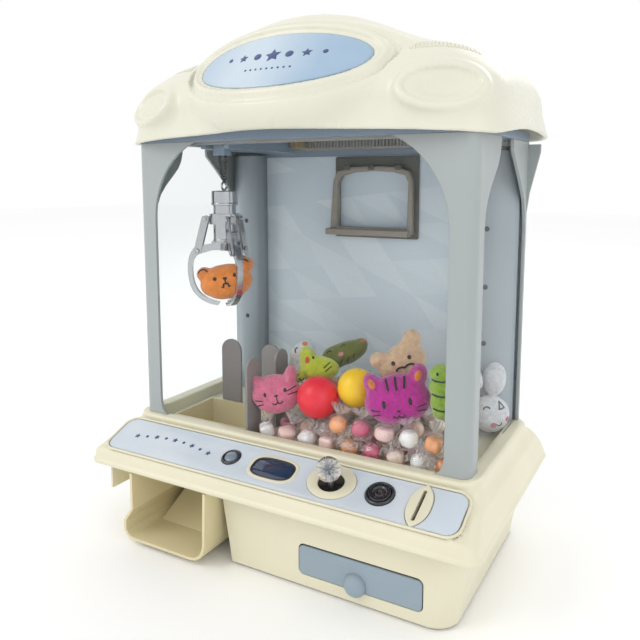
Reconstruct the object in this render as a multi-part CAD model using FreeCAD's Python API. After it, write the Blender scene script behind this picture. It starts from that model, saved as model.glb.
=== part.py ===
import FreeCAD, Part
import math
import os

V = FreeCAD.Vector
PI = math.pi

# Tabletop claw crane machine. X to the right, Y to the rear, Z up, millimetres.
# The origin is on the table, under the middle of the deck.

# ---- driving dimensions -------------------------------------------------
WIDTH, DEPTH = 330.0, 203.0          # over the lip of the deck
LIP_Z, DECK_Z = 61.0, 95.5           # underside of the lip, top of the deck
WALL = 2.4                           # moulded wall
CLEAR = 0.3                          # running clearance
CAB_X = 144.0                        # half width over the pillars
CAB_Y0, CAB_Y1 = -55.2, 84.5         # front and rear faces of the pillars
CAB_TOP = 324.0                      # top of the pillars
FLOOR_Z = 86.0                       # floor that the prizes lie on
FRAME_TOP = 331.0                    # top of the ring on the pillars
ROOF_Z0, ROOF_WALL_Z, ROOF_TOP = 323.0, 345.0, 398.0
ROOF_A, ROOF_YC, ROOF_B0, ROOF_B1 = 161.0, 18.0, 90.0, 83.0
PANEL_TILT = 15.8                    # slope of the control panel, degrees
PANEL_Y, PANEL_Z = -80.4, 86.05      # middle of the control panel
CLAW_X, CLAW_Y = -77.0, -26.0        # claw axis at rest, over the chute
CHUTE = (-115.0, -47.6, -44.0, 1.0)  # inside of the prize chute, x0 y0 x1 y1
BAY_Y1 = 6.0                         # rear of the prize bay
DRAWER = (28.2, 11.0, 122.8, 33.0)   # drawer front, x0 z0 x1 z1
BODY_Y0 = -82.0                      # front of the lower body
FOOT_Z = 2.0                         # underside of the lower body
HATCH = (-36.0, 242.0, 54.0, 312.0)  # refill hatch, x0 z0 x1 z1
FINGER_ANGLES = (210.0, 330.0, 90.0)

CONTROLS = {"start": -30.0, "lcd": 7.4, "joystick": 54.5, "catch": 91.5, "coin": 120.3}
CONTROL_V = -2.5                     # controls lie this far down the slope


# ---- helpers ------------------------------------------------------------
def save(name, *shapes):
    """Writes one node, as one solid or a group of separate solids."""
    solids = [s for shape in shapes for s in shape.Solids]
    shape = solids[0] if len(solids) == 1 else Part.makeCompound(solids)
    shape.exportStep(os.path.join("parts", name + ".step"))


def box(x0, y0, z0, x1, y1, z1):
    return Part.makeBox(x1 - x0, y1 - y0, z1 - z0, V(x0, y0, z0))


def cyl(x, y, z, r, h, axis=V(0, 0, 1)):
    return Part.makeCylinder(r, h, V(x, y, z), axis)


def ring(x, y, z, r0, r1, h, axis=V(0, 0, 1)):
    return cyl(x, y, z, r1, h, axis).cut(cyl(x, y, z, r0, h, axis))


def face_of(points):
    return Part.Face(Part.makePolygon(points + points[:1]))


def prism_y(points, y0, y1):
    """Outline of (x, z) points, pushed along Y."""
    return face_of([V(x, y0, z) for x, z in points]).extrude(V(0, y1 - y0, 0))


def prism_x(points, x0, x1):
    """Outline of (y, z) points, pushed along X."""
    return face_of([V(x0, y, z) for y, z in points]).extrude(V(x1 - x0, 0, 0))


def round_rect(x0, y0, x1, y1, z, r):
    """Closed wire, a rectangle with corner radii r (one number or four)."""
    radii = r if isinstance(r, tuple) else (r,) * 4
    corners = [(x0, y0, 180), (x1, y0, 270), (x1, y1, 0), (x0, y1, 90)]
    edges, ends = [], []
    for (x, y, start), rad in zip(corners, radii):
        cx = x + rad if x == x0 else x - rad
        cy = y + rad if y == y0 else y - rad
        arc = Part.makeCircle(rad, V(cx, cy, z), V(0, 0, 1), start, start + 90)
        edges.append(arc)
        ends.append((arc.valueAt(arc.FirstParameter), arc.valueAt(arc.LastParameter)))
    joined = []
    for i, arc in enumerate(edges):
        joined.append(arc)
        joined.append(Part.makeLine(ends[i][1], ends[(i + 1) % 4][0]))
    return Part.Wire(joined)


def slab(x0, y0, x1, y1, z0, z1, r):
    return Part.Face(round_rect(x0, y0, x1, y1, z0, r)).extrude(V(0, 0, z1 - z0))


def ellipse_prism(a, b, h, z=0.0):
    """Elliptical disc on XY, long axis along X, a may be smaller than b."""
    if a >= b:
        curve = Part.Ellipse(V(0, 0, z), a, b)
        return Part.Face(Part.Wire(curve.toShape())).extrude(V(0, 0, h))
    curve = Part.Ellipse(V(0, 0, z), b, a)
    shape = Part.Face(Part.Wire(curve.toShape())).extrude(V(0, 0, h))
    shape.rotate(V(0, 0, 0), V(0, 0, 1), 90)
    return shape


def ellipsoid(x, y, z, a, b, c):
    ball = Part.makeSphere(1.0)
    m = FreeCAD.Matrix()
    m.scale(a, b, c)
    ball = ball.transformGeometry(m)
    ball.translate(V(x, y, z))
    return ball


def on_panel(shape, x, v=CONTROL_V, lift=0.0):
    """Puts a shape made about the origin onto the sloped control panel."""
    t = math.radians(PANEL_TILT)
    shape = shape.copy()
    shape.rotate(V(0, 0, 0), V(1, 0, 0), PANEL_TILT)
    y = PANEL_Y + v * math.cos(t) - lift * math.sin(t)
    z = PANEL_Z + v * math.sin(t) + lift * math.cos(t)
    shape.translate(V(x, y, z))
    return shape


def around_claw(shape, angle):
    """Turns a shape made in the XZ plane about Z, then puts it on the claw axis."""
    shape = shape.copy()
    shape.rotate(V(0, 0, 0), V(0, 0, 1), angle)
    shape.translate(V(CLAW_X, CLAW_Y, 0))
    return shape


def gear(r_root, r_tip, teeth, h):
    """Toothed disc on XY."""
    pts = []
    for i in range(teeth):
        a = 2 * PI * i / teeth
        p = 2 * PI / teeth
        for k, r in ((0.0, r_root), (0.25, r_root), (0.4, r_tip), (0.6, r_tip), (0.75, r_root)):
            pts.append(V(r * math.cos(a + k * p), r * math.sin(a + k * p), 0))
    return face_of(pts).extrude(V(0, 0, h))


# ---- base ---------------------------------------------------------------
BODY_TOP = (-151.0, BODY_Y0, 152.0, 90.0)
BODY_BOTTOM = (-141.0, BODY_Y0, 143.0, 84.0)


def body_block(inset):
    """The drafted lower body less the prize bay, shrunk by inset on every side."""
    def section(rect, z):
        x0, y0, x1, y1 = rect
        return round_rect(x0 + inset, y0 + inset, x1 - inset, y1 - inset, z, 18.0 - inset)
    low = FOOT_Z if inset == 0 else FOOT_Z - 1
    block = Part.makeLoft([section(BODY_BOTTOM, low), section(BODY_TOP, LIP_Z)], True, True)
    bay = [(-200, -5), (-31 + inset, -5), (-42.5 + inset, LIP_Z + 1), (-200, LIP_Z + 1)]
    return block.cut(prism_y(bay, -200, BAY_Y1 + inset))


def base_tub():
    tub = body_block(0).cut(body_block(WALL))
    flange = slab(-161, -97.5, 161, 98, LIP_Z, LIP_Z + 2, (22.0, 22.0, 6.0, 6.0))
    room = slab(-148, BODY_Y0 + WALL, 149, 87, LIP_Z - 1, LIP_Z + 3, 15.0)
    keep = box(-170, -110, LIP_Z - 2, -41, BAY_Y1 + WALL, LIP_Z + 4)
    x0, y0, x1, y1 = CHUTE
    tub = tub.fuse(flange.cut(room.cut(keep)))
    tub = tub.cut(box(x0 - 2.3, y0 - 2.3, LIP_Z - 1, x1 + 2.3, y1 + 2.3, LIP_Z + 3))
    tub = tub.fuse(box(-149.5, -92, 39, -147.5, -70, LIP_Z))
    dx0, dz0, dx1, dz1 = DRAWER
    tub = tub.cut(slab_xz(dx0 - 0.5, dz0 - 0.5, dx1 + 0.5, dz1 + 1.0, -90, -75, 4.5))
    for x in (-60, 60):
        tub = tub.cut(box(x - 22, 80, 30, x + 22, 95, 46))
    tub = tub.cut(box(-11.5, 80, 33, 11.5, 95, 43))
    return tub.removeSplitter()


def slab_xz(x0, z0, x1, z1, y0, y1, r):
    """Plate standing in XZ with rounded corners, from y0 to y1."""
    plate = slab(x0, z0, x1, z1, 0, y1 - y0, r)
    plate.rotate(V(0, 0, 0), V(1, 0, 0), 90)
    plate.translate(V(0, y1, 0))
    return plate


def base_plate():
    plate = body_block(WALL + CLEAR).common(box(-200, -200, FOOT_Z, 200, 200, FOOT_Z + 2))
    return plate.cut(slab(-70, 20, 40, 76, 0, 10, 4.0))


def rear_inlets():
    """The speaker grille and the battery-side vent on the rear wall."""
    plates = []
    for x in (-60, 60):
        plate = slab_xz(x - 21.5, 30.5, x + 21.5, 45.5, 84.0, 86.2, 3.0)
        for i in range(-4, 5):
            plate = plate.cut(slab_xz(x + i * 4.4 - 1, 33, x + i * 4.4 + 1, 43, 80, 90, 0.95))
        plates.append(plate)
    return plates


def feet():
    spots = [(128, -66), (124, 70), (-124, 70), (-18, -66)]
    made = [cyl(x, y, 0, 8, FOOT_Z) for x, y in spots]
    made.append(cyl(-106, -86, 0, 6, 4))
    return made


def deck_profiles(inset):
    """Side, front and plan outlines of the deck, common to all three."""
    t = inset
    hy = DEPTH / 2 - t
    side = [(-hy, 55), (-hy, 67), (-hy + 0.8, 71), (-hy + 2.2, 76), (-97.8 + t, 80.9 - t * 0.6),
            (-97.8 + t, 80.9 - t), (-63.0 + t * 0.2, 90.9 - t), (-61.2 + t, DECK_Z - t),
            (88.5 - t * 0.5, DECK_Z - t), (92.5 - t * 0.5, 92.5 - t * 0.7), (98.0 - t, 82),
            (hy, 69), (hy, 55)]
    hx = WIDTH / 2 - t
    half = [(hx, 55), (hx, 67), (hx - 3.0, 76), (hx - 7.5, 85), (hx - 12.0, 92.0 - t * 0.7),
            (150.0 - t * 0.5, DECK_Z - t)]
    front = half + [(-x, z) for x, z in reversed(half)]
    solid = prism_x(side, -170, 170).common(prism_y(front, -110, 110))
    plan = slab(-hx, -hy, hx, hy, 50, 120, 9.0 - t)
    return solid.common(plan)


def deck():
    outer = deck_profiles(0).common(box(-200, -200, LIP_Z, 200, 200, 200))
    inner = deck_profiles(WALL)
    shell = outer.cut(inner)
    shell = shell.fuse(box(-140.2, -52.4, FLOOR_Z - WALL, 140.2, 81.2, DECK_Z))
    shell = shell.cut(box(-137.8, -50.0, FLOOR_Z, 137.8, 78.8, DECK_Z + 5))
    x0, y0, x1, y1 = CHUTE
    shell = shell.cut(box(x0 - 2.3, y0 - 2.3, 60, x1 + 2.3, y1 + 2.3, 120))
    cuts = [
        on_panel(cyl(0, 0, -8, 7.5, 20), CONTROLS["start"]),
        on_panel(ellipse_prism(19.8, 8.8, 20, -8), CONTROLS["lcd"]),
        on_panel(ellipse_prism(13.5, 11.0, 20, -8), CONTROLS["joystick"]),
        on_panel(cyl(0, 0, -8, 10.6, 20), CONTROLS["catch"]),
        on_panel(slab(-2.2, -14.8, 2.2, 15, -8, 12, 0.3), CONTROLS["coin"], -1.5),
    ]
    for tool in cuts:
        shell = shell.cut(tool)
    return shell.removeSplitter()


def control_overlay():
    sheet = slab(-147, -18.0, 147, 16.5, 0, 0.5, 7.0)
    for name, tool in (("start", cyl(0, 0, -1, 9.8, 3)), ("lcd", ellipse_prism(23.2, 12.4, 3, -1)),
                       ("joystick", ellipse_prism(21.7, 14.2, 3, -1)), ("catch", cyl(0, 0, -1, 13.0, 3))):
        tool.translate(V(CONTROLS[name], CONTROL_V, 0))
        sheet = sheet.cut(tool)
    plate = ellipse_prism(11.4, 20.4, 3, -1).common(box(-20, -15.0, -5, 20, 30, 5))
    plate.translate(V(CONTROLS["coin"], -1.5, 0))
    return on_panel(sheet.cut(plate), 0, 0.0, 0.05)


def chute_liner():
    x0, y0, x1, y1 = CHUTE
    tube = box(x0 - 2, y0 - 2, LIP_Z + 0.5, x1 + 2, y1 + 2, DECK_Z - 0.5)
    return tube.cut(box(x0, y0, 0, x1, y1, 200))


def paddle(along_x, a, b, fixed):
    """Round-topped guard, a to b wide, 2 thick, standing at the fixed coordinate."""
    top, t = 152.0, 1.0
    r = (b - a) / 2
    mid = (a + b) / 2
    if along_x:
        plate = box(a, fixed - t, FLOOR_Z, b, fixed + t, top - r)
        return plate.fuse(cyl(mid, fixed - t, top - r, r, 2 * t, V(0, 1, 0))).removeSplitter()
    plate = box(fixed - t, a, FLOOR_Z, fixed + t, b, top - r)
    return plate.fuse(cyl(fixed - t, mid, top - r, r, 2 * t, V(1, 0, 0))).removeSplitter()


def chute_guards():
    return [paddle(True, -105.5, -84.5, 4.6), paddle(True, -62, -43, 4.6),
            paddle(False, -49.5, -30.5, -40.6), paddle(False, -14, 5, -36.6)]


def prize_scoop():
    def outline(t):
        floor = 4.0 + t
        pts = [(-120 + t, 60.5 + t), (-120 + t, 30.5), (-128 + t, 19), (-128 + t, 10 + t * 0.5)]
        r = 10 - t
        pts += [(-118 - r * math.sin(a), floor + r * (1 - math.cos(a))) for a in (1.1, 0.7, 0.35)]
        pts += [(-118, floor), (-59, floor)]
        pts += [(-59 + (14 - t) * math.sin(a), floor + (14 - t) * (1 - math.cos(a))) for a in (0.4, 0.8, 1.2)]
        return pts + [(-44.6 - t, 19), (-43.2 - t, 60.5 + t)]
    shell = prism_y(outline(0), -100.0, 5.2).cut(prism_y(outline(WALL), -101.0, 2.8))
    ramp = prism_x([(3.2, 6), (3.2, 42), (-66, 6.2)], -119, -46).common(prism_y(outline(1.0), -99, 3.4))
    scoop = shell.fuse(ramp)
    return scoop.common(box(-200, -200, 0, 200, 200, 60.5)).removeSplitter()


# ---- drawer -------------------------------------------------------------
def coin_drawer():
    x0, z0, x1, z1 = DRAWER
    front = slab_xz(x0, z0, x1, z1, BODY_Y0 - 0.8, BODY_Y0 + 1.6, 3.5)
    tray = box(x0 + 2.5, BODY_Y0 + 1.2, 12, x1 - 2.5, -12, 30)
    tray = tray.cut(box(x0 + 4.1, BODY_Y0 + 2.0, 13.6, x1 - 4.1, -13.6, 40))
    return front.fuse(tray).removeSplitter()


def coin_drawer_knob():
    x0, z0, x1, z1 = DRAWER
    mid = (x0 + x1) / 2 - 2.0
    knob = ellipsoid(mid, BODY_Y0 - 0.8, z0 + 0.4, 12.5, 9.0, 14.0)
    return knob.common(box(mid - 20, BODY_Y0 - 12, z0 + 0.4, mid + 20, BODY_Y0 - 0.8, 60))


def drawer_rails():
    x0, z0, x1, z1 = DRAWER
    rails = []
    for x in (x0 + 8, x1 - 12):
        rails.append(box(x, BODY_Y0 + WALL + 0.2, FOOT_Z + 2, x + 4, -6, 11.6))
    rails.append(box(x0 + 20, -9.6, FOOT_Z + 2, x1 - 20, -7, 24))
    return rails


# ---- coin way, display, buttons -----------------------------------------
def coin_plate():
    plate = ellipse_prism(11, 20, 2.2, 0).common(box(-20, -14.6, -5, 20, 17.0, 5))
    plate = plate.fuse(slab(-2.0, -14.5, 2.0, 14.2, -3.2, 1.0, 0.2))
    return on_panel(plate.cut(slab(-0.9, -13.4, 0.9, 13.4, -9, 9, 0.85)), CONTROLS["coin"], -1.5, 0.05)


def coin_guide():
    """Flat tube from the slot down to the drawer."""
    def section(x, w, z, y0, y1):
        corners = [V(x - w, y0, z), V(x + w, y0, z), V(x + w, y1, z), V(x - w, y1, z)]
        return Part.makePolygon(corners + corners[:1])
    x = CONTROLS["coin"]
    levels = ((x, 2.0, 75, -94.4, -67.4), (x - 4, 2.4, 63.6, -77.0, -55.4), (107.6, 3.6, 37, -77.0, -55.4))
    inner = Part.makeLoft([section(*level) for level in levels], True, True)
    sections = [section(cx, w + 1.4, z, y0 - 1.4, y1 + 1.4) for cx, w, z, y0, y1 in levels]
    outer = Part.makeLoft(sections, True, True)
    return outer.cut(inner)


def lcd_bezel():
    outer = ellipse_prism(23, 12.2, 1.6, 0)
    outer = outer.fuse(ellipse_prism(19.5, 8.5, 4, -3))
    return on_panel(outer.cut(ellipse_prism(18.2, 7.4, 20, -8)), CONTROLS["lcd"], CONTROL_V, 0.05)


def lcd_window():
    return on_panel(ellipse_prism(18.1, 7.3, 1.0, -0.4), CONTROLS["lcd"], CONTROL_V, 0.05)


def lcd_module():
    return on_panel(box(-17, -7, -9, 17, 7, -5), CONTROLS["lcd"], CONTROL_V, 0.0)


def button_ring(name, r0, r1, h):
    body = ring(0, 0, 0, r0, r1, h).fuse(ring(0, 0, -4, r0, r0 + 0.8, 4))
    return on_panel(body, CONTROLS[name], CONTROL_V, 0.05)


def start_button():
    cap = cyl(0, 0, -3, 6.0, 5.2)
    cap = cap.makeFillet(1.2, [e for e in cap.Edges if abs(e.BoundBox.ZMin - 2.2) < 1e-6])
    return on_panel(cap.fuse(cyl(0, 0, -9, 2.0, 6.5)), CONTROLS["start"])


def catch_button():
    cap = cyl(0, 0, -3, 9.2, 6.0)
    cap = cap.cut(Part.makeSphere(20, V(0, 0, 21.4)))
    return on_panel(cap.fuse(cyl(0, 0, -9, 2.0, 7.0)), CONTROLS["catch"])


def button_switches():
    made = []
    for name in ("start", "catch"):
        made.append(on_panel(box(-6, -5, -17, 6, 5, -12), CONTROLS[name]))
    return made


# ---- joystick -----------------------------------------------------------
PIVOT = -8.0        # joystick pivot below the panel surface


def joystick_plate():
    plate = ellipse_prism(21.5, 14.0, 1.8, 0).fuse(ellipse_prism(13.2, 10.7, 4, -3))
    return on_panel(plate.cut(cyl(0, 0, -9, 9.4, 20)), CONTROLS["joystick"], CONTROL_V, 0.05)


def joystick_collar():
    """Chromed socket ring that the stick comes out of."""
    body = cyl(0, 0, -2.6, 9.1, 5.2)
    return on_panel(body.cut(Part.makeCone(6.0, 8.2, 12, V(0, 0, -6))), CONTROLS["joystick"], CONTROL_V, 0.05)


def joystick_ball():
    ball = Part.makeSphere(8.8, V(0, 0, 12.4)).cut(cyl(0, 0, -5, 2.0, 14.4))
    return on_panel(ball, CONTROLS["joystick"])


def joystick_shaft():
    shaft = cyl(0, 0, -14.5, 2.0, 23.8)
    hub = Part.makeSphere(3.4, V(0, 0, PIVOT)).fuse(cyl(0, -6.6, PIVOT, 0.9, 13.2, V(0, 1, 0)))
    return on_panel(shaft.fuse(hub).removeSplitter(), CONTROLS["joystick"])


def joystick_yoke():
    """Ring that tips to front and rear; the stick tips sideways inside it."""
    body = ring(0, 0, PIVOT - 1.8, 5.0, 7.4, 3.6).cut(cyl(0, -9, PIVOT, 1.2, 18, V(0, 1, 0)))
    for side in (-1, 1):
        body = body.fuse(cyl(side * 7.0, 0, PIVOT, 1.0, 4.5, V(side, 0, 0)))
    return on_panel(body.removeSplitter(), CONTROLS["joystick"])


def joystick_frame():
    body = ring(0, 0, -19, 10.0, 12.0, 15.8).fuse(ring(0, 0, -19, 5.5, 12.0, 1.2))
    for side in (-1, 1):
        body = body.cut(cyl(side * 6.0, 0, PIVOT, 1.3, 8, V(side, 0, 0)))
    return on_panel(body.removeSplitter(), CONTROLS["joystick"])


# ---- electronics in the base --------------------------------------------
def main_board():
    board = box(-25, -4, 50, 90, 50, 51.6)
    for x, y, w, d, h in ((0, 10, 14, 14, 2), (30, 20, 8, 12, 3), (60, 8, 10, 10, 8), (75, 34, 6, 10, 6)):
        board = board.fuse(box(x, y, 51.6, x + w, y + d, 51.6 + h))
    for x in (-21, 86):
        for y in (0, 46):
            board = board.fuse(cyl(x, y, 51.6, 2.5, FLOOR_Z - WALL - 51.7))
    return board


def speaker():
    cone = Part.makeCone(19, 10, 8, V(60, 83.4, 38), V(0, -1, 0)).common(box(0, 0, 20, 120, 100, 56))
    return cone.fuse(cyl(60, 76, 38, 9, 6, V(0, -1, 0))).removeSplitter()


def battery_box():
    case = box(-68, 22, 4.2, 38, 74, 23)
    return case.cut(box(-66, 24, 4.0, 36, 72, 21))


def batteries():
    return [cyl(-61, 31.5 + i * 16.2, 12.8, 7.1, 92, V(1, 0, 0)) for i in range(3)]


def battery_door():
    door = slab(-69.7, 20.3, 39.7, 75.7, FOOT_Z, FOOT_Z + 1.8, 3.7)
    return door.cut(cyl(-15, 72, 0, 1.6, 10))


def power_switch():
    return box(-7, 82.0, 36, 2, 84.3, 40).fuse(box(-4.5, 84.0, 36.8, -0.5, 87.6, 39.2)).removeSplitter()


def power_switch_frame():
    plate = slab_xz(-11, 33.5, 11, 42.5, 84.6, 85.8, 2.0)
    return plate.cut(box(-5.2, 80, 36.4, 5.2, 90, 39.6))


# ---- cabin --------------------------------------------------------------
def arch_points(edge, centre, radius, z0, z1, flare):
    """Half opening from the foot to the top: foot flare, straight, then an arc."""
    pts = [(edge - flare, DECK_Z - 1), (edge - flare, DECK_Z + 0.5)]
    for k in range(1, 6):
        a = k / 5 * PI / 2
        pts.append((edge - flare * (1 - math.sin(a)), DECK_Z + 0.5 + 14 * (1 - math.cos(a))))
    steps = 14
    top = math.asin((z1 - z0) / radius)
    for k in range(steps + 1):
        a = top * k / steps
        pts.append((centre + radius * math.cos(a), z0 + radius * math.sin(a)))
    return pts


def front_opening():
    half = arch_points(126.0, 59.2, 66.8, 262.0, CAB_TOP + 1, 6.5)
    return prism_y(half + [(-x, z) for x, z in reversed(half)], -80, 0)


def side_opening():
    """Window in the side skin, from the S-shaped front bracket to the rear gusset."""
    front = [(-37.0, DECK_Z - 1), (-37.0, 255.0)]
    curve = [(-37.0, 262.0), (-35.5, 272.0), (-31.0, 281.5), (-24.0, 289.5), (-15.0, 297.5), (-8.0, 304.0),
             (-3.8, 310.5), (-1.6, 318.0), (-1.0, CAB_TOP + 1)]
    rear = [(32.0, CAB_TOP + 1), (33.0, 316.0), (48.0, 303.0), (62.0, 290.0), (72.0, 279.0), (77.0, 268.0),
            (78.6, 256.0), (78.6, DECK_Z - 1)]
    return prism_x(front + curve + rear, -200, 200)


def rear_opening():
    return box(-104, 70, DECK_Z - 1, 104, 100, CAB_TOP + 1)


def cabin_skin():
    outer = slab(-CAB_X, CAB_Y0, CAB_X, CAB_Y1, DECK_Z, CAB_TOP, (8.0, 8.0, 2.0, 2.0))
    w = WALL
    inner = slab(-CAB_X + w, CAB_Y0 + w, CAB_X - w, CAB_Y1 - w, DECK_Z - 1, CAB_TOP + 1, (5.6, 5.6, 0.5, 0.5))
    skin = outer.cut(inner)
    for opening in (front_opening(), side_opening(), rear_opening()):
        skin = skin.cut(opening)
    return skin


def pillars():
    """Four pillars by corner; the rear ones carry an outward gusset."""
    skin = cabin_skin()
    fronts, rears = [], []
    for sx in (-1, 1):
        x0, x1 = (0, 200) if sx > 0 else (-200, 0)
        fronts.append(skin.common(box(x0, -100, 0, x1, 15, 400)))
        rear = skin.common(box(x0, 15, 0, x1, 100, 400))
        wing = [(sx * (CAB_X - 1), 268), (sx * CAB_X, 268), (sx * 146, 284), (sx * 150, 301),
                (sx * 153.5, 316), (sx * 153.5, CAB_TOP - 2), (sx * (CAB_X - 1), CAB_TOP - 2)]
        rears.append(rear.fuse(prism_y(wing, CAB_Y1 - 4.2, CAB_Y1 - 1.8)).removeSplitter())
    return fronts, rears


def top_frame():
    outer = slab(-CAB_X, CAB_Y0, CAB_X, CAB_Y1, CAB_TOP + 0.1, FRAME_TOP, (8.0, 8.0, 2.0, 2.0))
    return outer.cut(slab(-134, -45.2, 134, 74.5, CAB_TOP - 1, FRAME_TOP + 1, 0.5))


def windows():
    top = CAB_TOP - 0.1
    return [
        box(-136.6, -52.7, DECK_Z, 136.6, -51.5, top),
        box(-141.4, -47.0, DECK_Z, -140.2, 79.6, top),
        box(140.2, -47.0, DECK_Z, 141.4, 79.6, top),
    ]


def hatch_cut(grow, y0, y1):
    x0, z0, x1, z1 = HATCH
    return slab_xz(x0 - grow, z0 - grow, x1 + grow, z1 + grow, y0, y1, 10.0 + grow)


def back_panel():
    panel = box(-139.4, 80.6, DECK_Z, 139.4, 82.0, CAB_TOP - 0.1).cut(hatch_cut(0, 70, 90))
    x0, z0, x1, z1 = HATCH
    for z in (z0 + 8, z1 - 14):
        lug = box(x0 - 7.4, 82.0, z, x0 - 2.2, 86.4, z + 6)
        panel = panel.fuse(lug.cut(cyl(x0 - 4.8, 84.4, z - 1, 1.5, 8)))
    return panel


def back_sheet():
    return box(-138, 80.0, FLOOR_Z + 10, 138, 80.5, 316).cut(hatch_cut(0.2, 70, 90))


def refill_frame():
    """Frame round the hatch on the cabin side, with a sill like a shelf."""
    body = hatch_cut(2.5, 66.0, 79.9).cut(hatch_cut(-1.2, 60, 90))
    x0, z0, x1, z1 = HATCH
    return body.fuse(box(x0 - 2.5, 60.0, z0 - 2.5, x1 + 2.5, 68.0, z0 + 0.6)).removeSplitter()


def refill_door():
    x0, z0, x1, z1 = HATCH
    plate = slab_xz(x0 - 1.2, z0 - 4, x1 + 5, z1 + 4, 82.4, 84.4, 8.0)
    for z in (z0 + 8, z1 - 14):
        plate = plate.cut(box(x0 - 8.0, 80, z - 0.4, x0 - 1.0, 90, z + 6.4))
    arms = []
    for z in (z0 + 14.6, z1 - 21.6):
        arms.append(box(x0 - 5.4, 82.6, z, x0 - 0.6, 84.2, z + 6.8))
        arms.append(cyl(x0 - 4.8, 84.4, z, 2.0, 6.8))
    pin = cyl(x0 - 4.8, 84.4, z0 + 7.5, 1.2, z1 - z0 - 15)
    return plate.multiFuse(arms + [pin]).removeSplitter()


def refill_latch():
    x0, z0, x1, z1 = HATCH
    mid = (z0 + z1) / 2
    return slab_xz(x1 - 8, mid - 9, x1 + 3, mid + 9, 84.5, 87.5, 4.0)


# ---- roof ---------------------------------------------------------------
def roof_outline(scale, z, inset=0.0, rest=1.0):
    """Rounded plan with a bowed front; it shrinks as rest falls to 0, soonest at the front."""
    pts = []
    count = 72
    for i in range(count):
        t = 2 * PI * (i + 0.5) / count
        c, s = math.cos(t), math.sin(t)
        n = 6.0 if s < 0 else 9.0
        b = (ROOF_B0 if s < 0 else ROOF_B1) - inset
        x = (ROOF_A - inset) * math.copysign(abs(c) ** (2 / n), c)
        y = b * math.copysign(abs(s) ** (2 / n), s)
        ahead = max(0.0, -y / b) ** 2
        grow = scale * rest ** (1 / (3.2 - 1.2 * ahead))
        pts.append(V(x * grow, ROOF_YC + y * grow, z))
    curve = Part.BSplineCurve()
    curve.interpolate(pts, True)
    return Part.Wire(curve.toShape())


def roof_dome(inset):
    wall = ROOF_WALL_Z
    rise = ROOF_TOP - wall - inset
    wires = [roof_outline(1.0, ROOF_Z0 - (2 if inset else 0), inset), roof_outline(0.985, wall - 11, inset),
             roof_outline(0.965, wall, inset)]
    for k in (0.22, 0.42, 0.6, 0.76, 0.88, 0.965):
        wires.append(roof_outline(0.965, wall + k * rise, inset, 1 - k ** 2.25))
    return Part.makeLoft(wires, True)


SIGN_TILT, SIGN_Y, SIGN_Z = 40.0, -71.5, 377.0


def on_sign(shape, out=0.0):
    """Puts a shape made on XY onto the sign face, facing forward and up."""
    shape = shape.copy()
    shape.rotate(V(0, 0, 0), V(1, 0, 0), 90.0 - SIGN_TILT)
    t = math.radians(SIGN_TILT)
    shape.translate(V(0, SIGN_Y - out * math.cos(t), SIGN_Z + out * math.sin(t)))
    return shape


def on_dish(shape, side):
    """Puts a shape made on XY onto the left or right corner dish."""
    shape = shape.copy()
    shape.rotate(V(0, 0, 0), V(1, 0, 0), 46.0)
    shape.rotate(V(0, 0, 0), V(0, 0, 1), side * 24.0)
    shape.translate(V(side * 120.0, -49.0, 352.0))
    return shape


def sign_mound():
    """Oval boss that narrows towards the flat ring round the sign."""
    wires = []
    steps = ((84.0, 36.5, 0.0), (92.0, 43.0, -5.0), (100.0, 49.0, -14.0), (105.0, 53.0, -30.0),
             (106.0, 54.0, -46.0))
    for a, b, out in steps:
        curve = Part.Wire(Part.Ellipse(V(0, 0, 0), a, b).toShape())
        wires.append(on_sign(curve, out))
    return Part.makeLoft(wires, True)


def roof_shell():
    mound = ellipsoid(0, -14, 349.5, 104, 66, 67.5)
    inside = ellipsoid(0, -14, 349.5, 100, 60, 64.5)
    inner = roof_dome(WALL)
    shell = roof_dome(0).fuse(mound).fuse(sign_mound()).cut(on_sign(ellipse_prism(84, 37, 40, 0)))
    shell = shell.cut(inner).cut(inside.cut(on_sign(ellipse_prism(120, 90, 60, -5))))
    for side in (-1, 1):
        boss = on_dish(ellipse_prism(30, 18.5, 10, -7), side)
        bowl = ellipsoid(0, 0, 6.6, 23, 13.5, 7.0)
        shell = shell.fuse(boss).cut(on_dish(bowl, side))
    shell = shell.cut(on_sign(ellipse_prism(72, 27.5, 10, -1.6)))
    under = box(-300, -200, 200, 300, 200, ROOF_Z0)
    arch_x = cyl(0, -200, -1716.0, 2044.0, 400, V(0, 1, 0)).common(box(-140, -200, 315, 140, 200, 330))
    shell = shell.cut(under).cut(arch_x)
    return max(shell.Solids, key=lambda solid: solid.Volume)


def sign_panel():
    return on_sign(ellipse_prism(71.6, 27.1, 1.4, -1.5))


def ceiling_plate():
    plate = slab(-88, -53, 88, 82, 348, 350, 4.0)
    for x, y in ((-82, -50.2), (82, -50.2), (-82, 79.5), (82, 79.5)):
        plate = plate.fuse(cyl(x, y, FRAME_TOP, 3.5, 348 - FRAME_TOP + 1))
    return plate.removeSplitter()


# ---- gantry -------------------------------------------------------------
RAIL_X = 134.0
RACK_PITCH = 3.2
BRIDGE_Y0, BRIDGE_Y1 = -37.6, 62.6


def rack(count, pitch, depth, height):
    """Row of teeth along X, pointing to -Y, base on Y = 0."""
    pts = [(0, 0)]
    for i in range(count):
        x = i * pitch
        pts += [(x, -0.4), (x + 0.28 * pitch, -depth), (x + 0.62 * pitch, -depth), (x + 0.9 * pitch, -0.4)]
    pts += [(count * pitch, -0.4), (count * pitch, 0)]
    return face_of([V(x, y, 0) for x, y in pts[1:] + [(0, 0)]]).extrude(V(0, 0, height))


def rear_rail():
    bar = box(-RAIL_X, 66.5, 321, RAIL_X, 74, 330.6)
    return bar


def rear_rack():
    count = int(2 * RAIL_X / RACK_PITCH)
    teeth = rack(count, RACK_PITCH, 2.4, 6.0)
    teeth.translate(V(-count * RACK_PITCH / 2, 66.4, 323))
    return teeth


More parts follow.
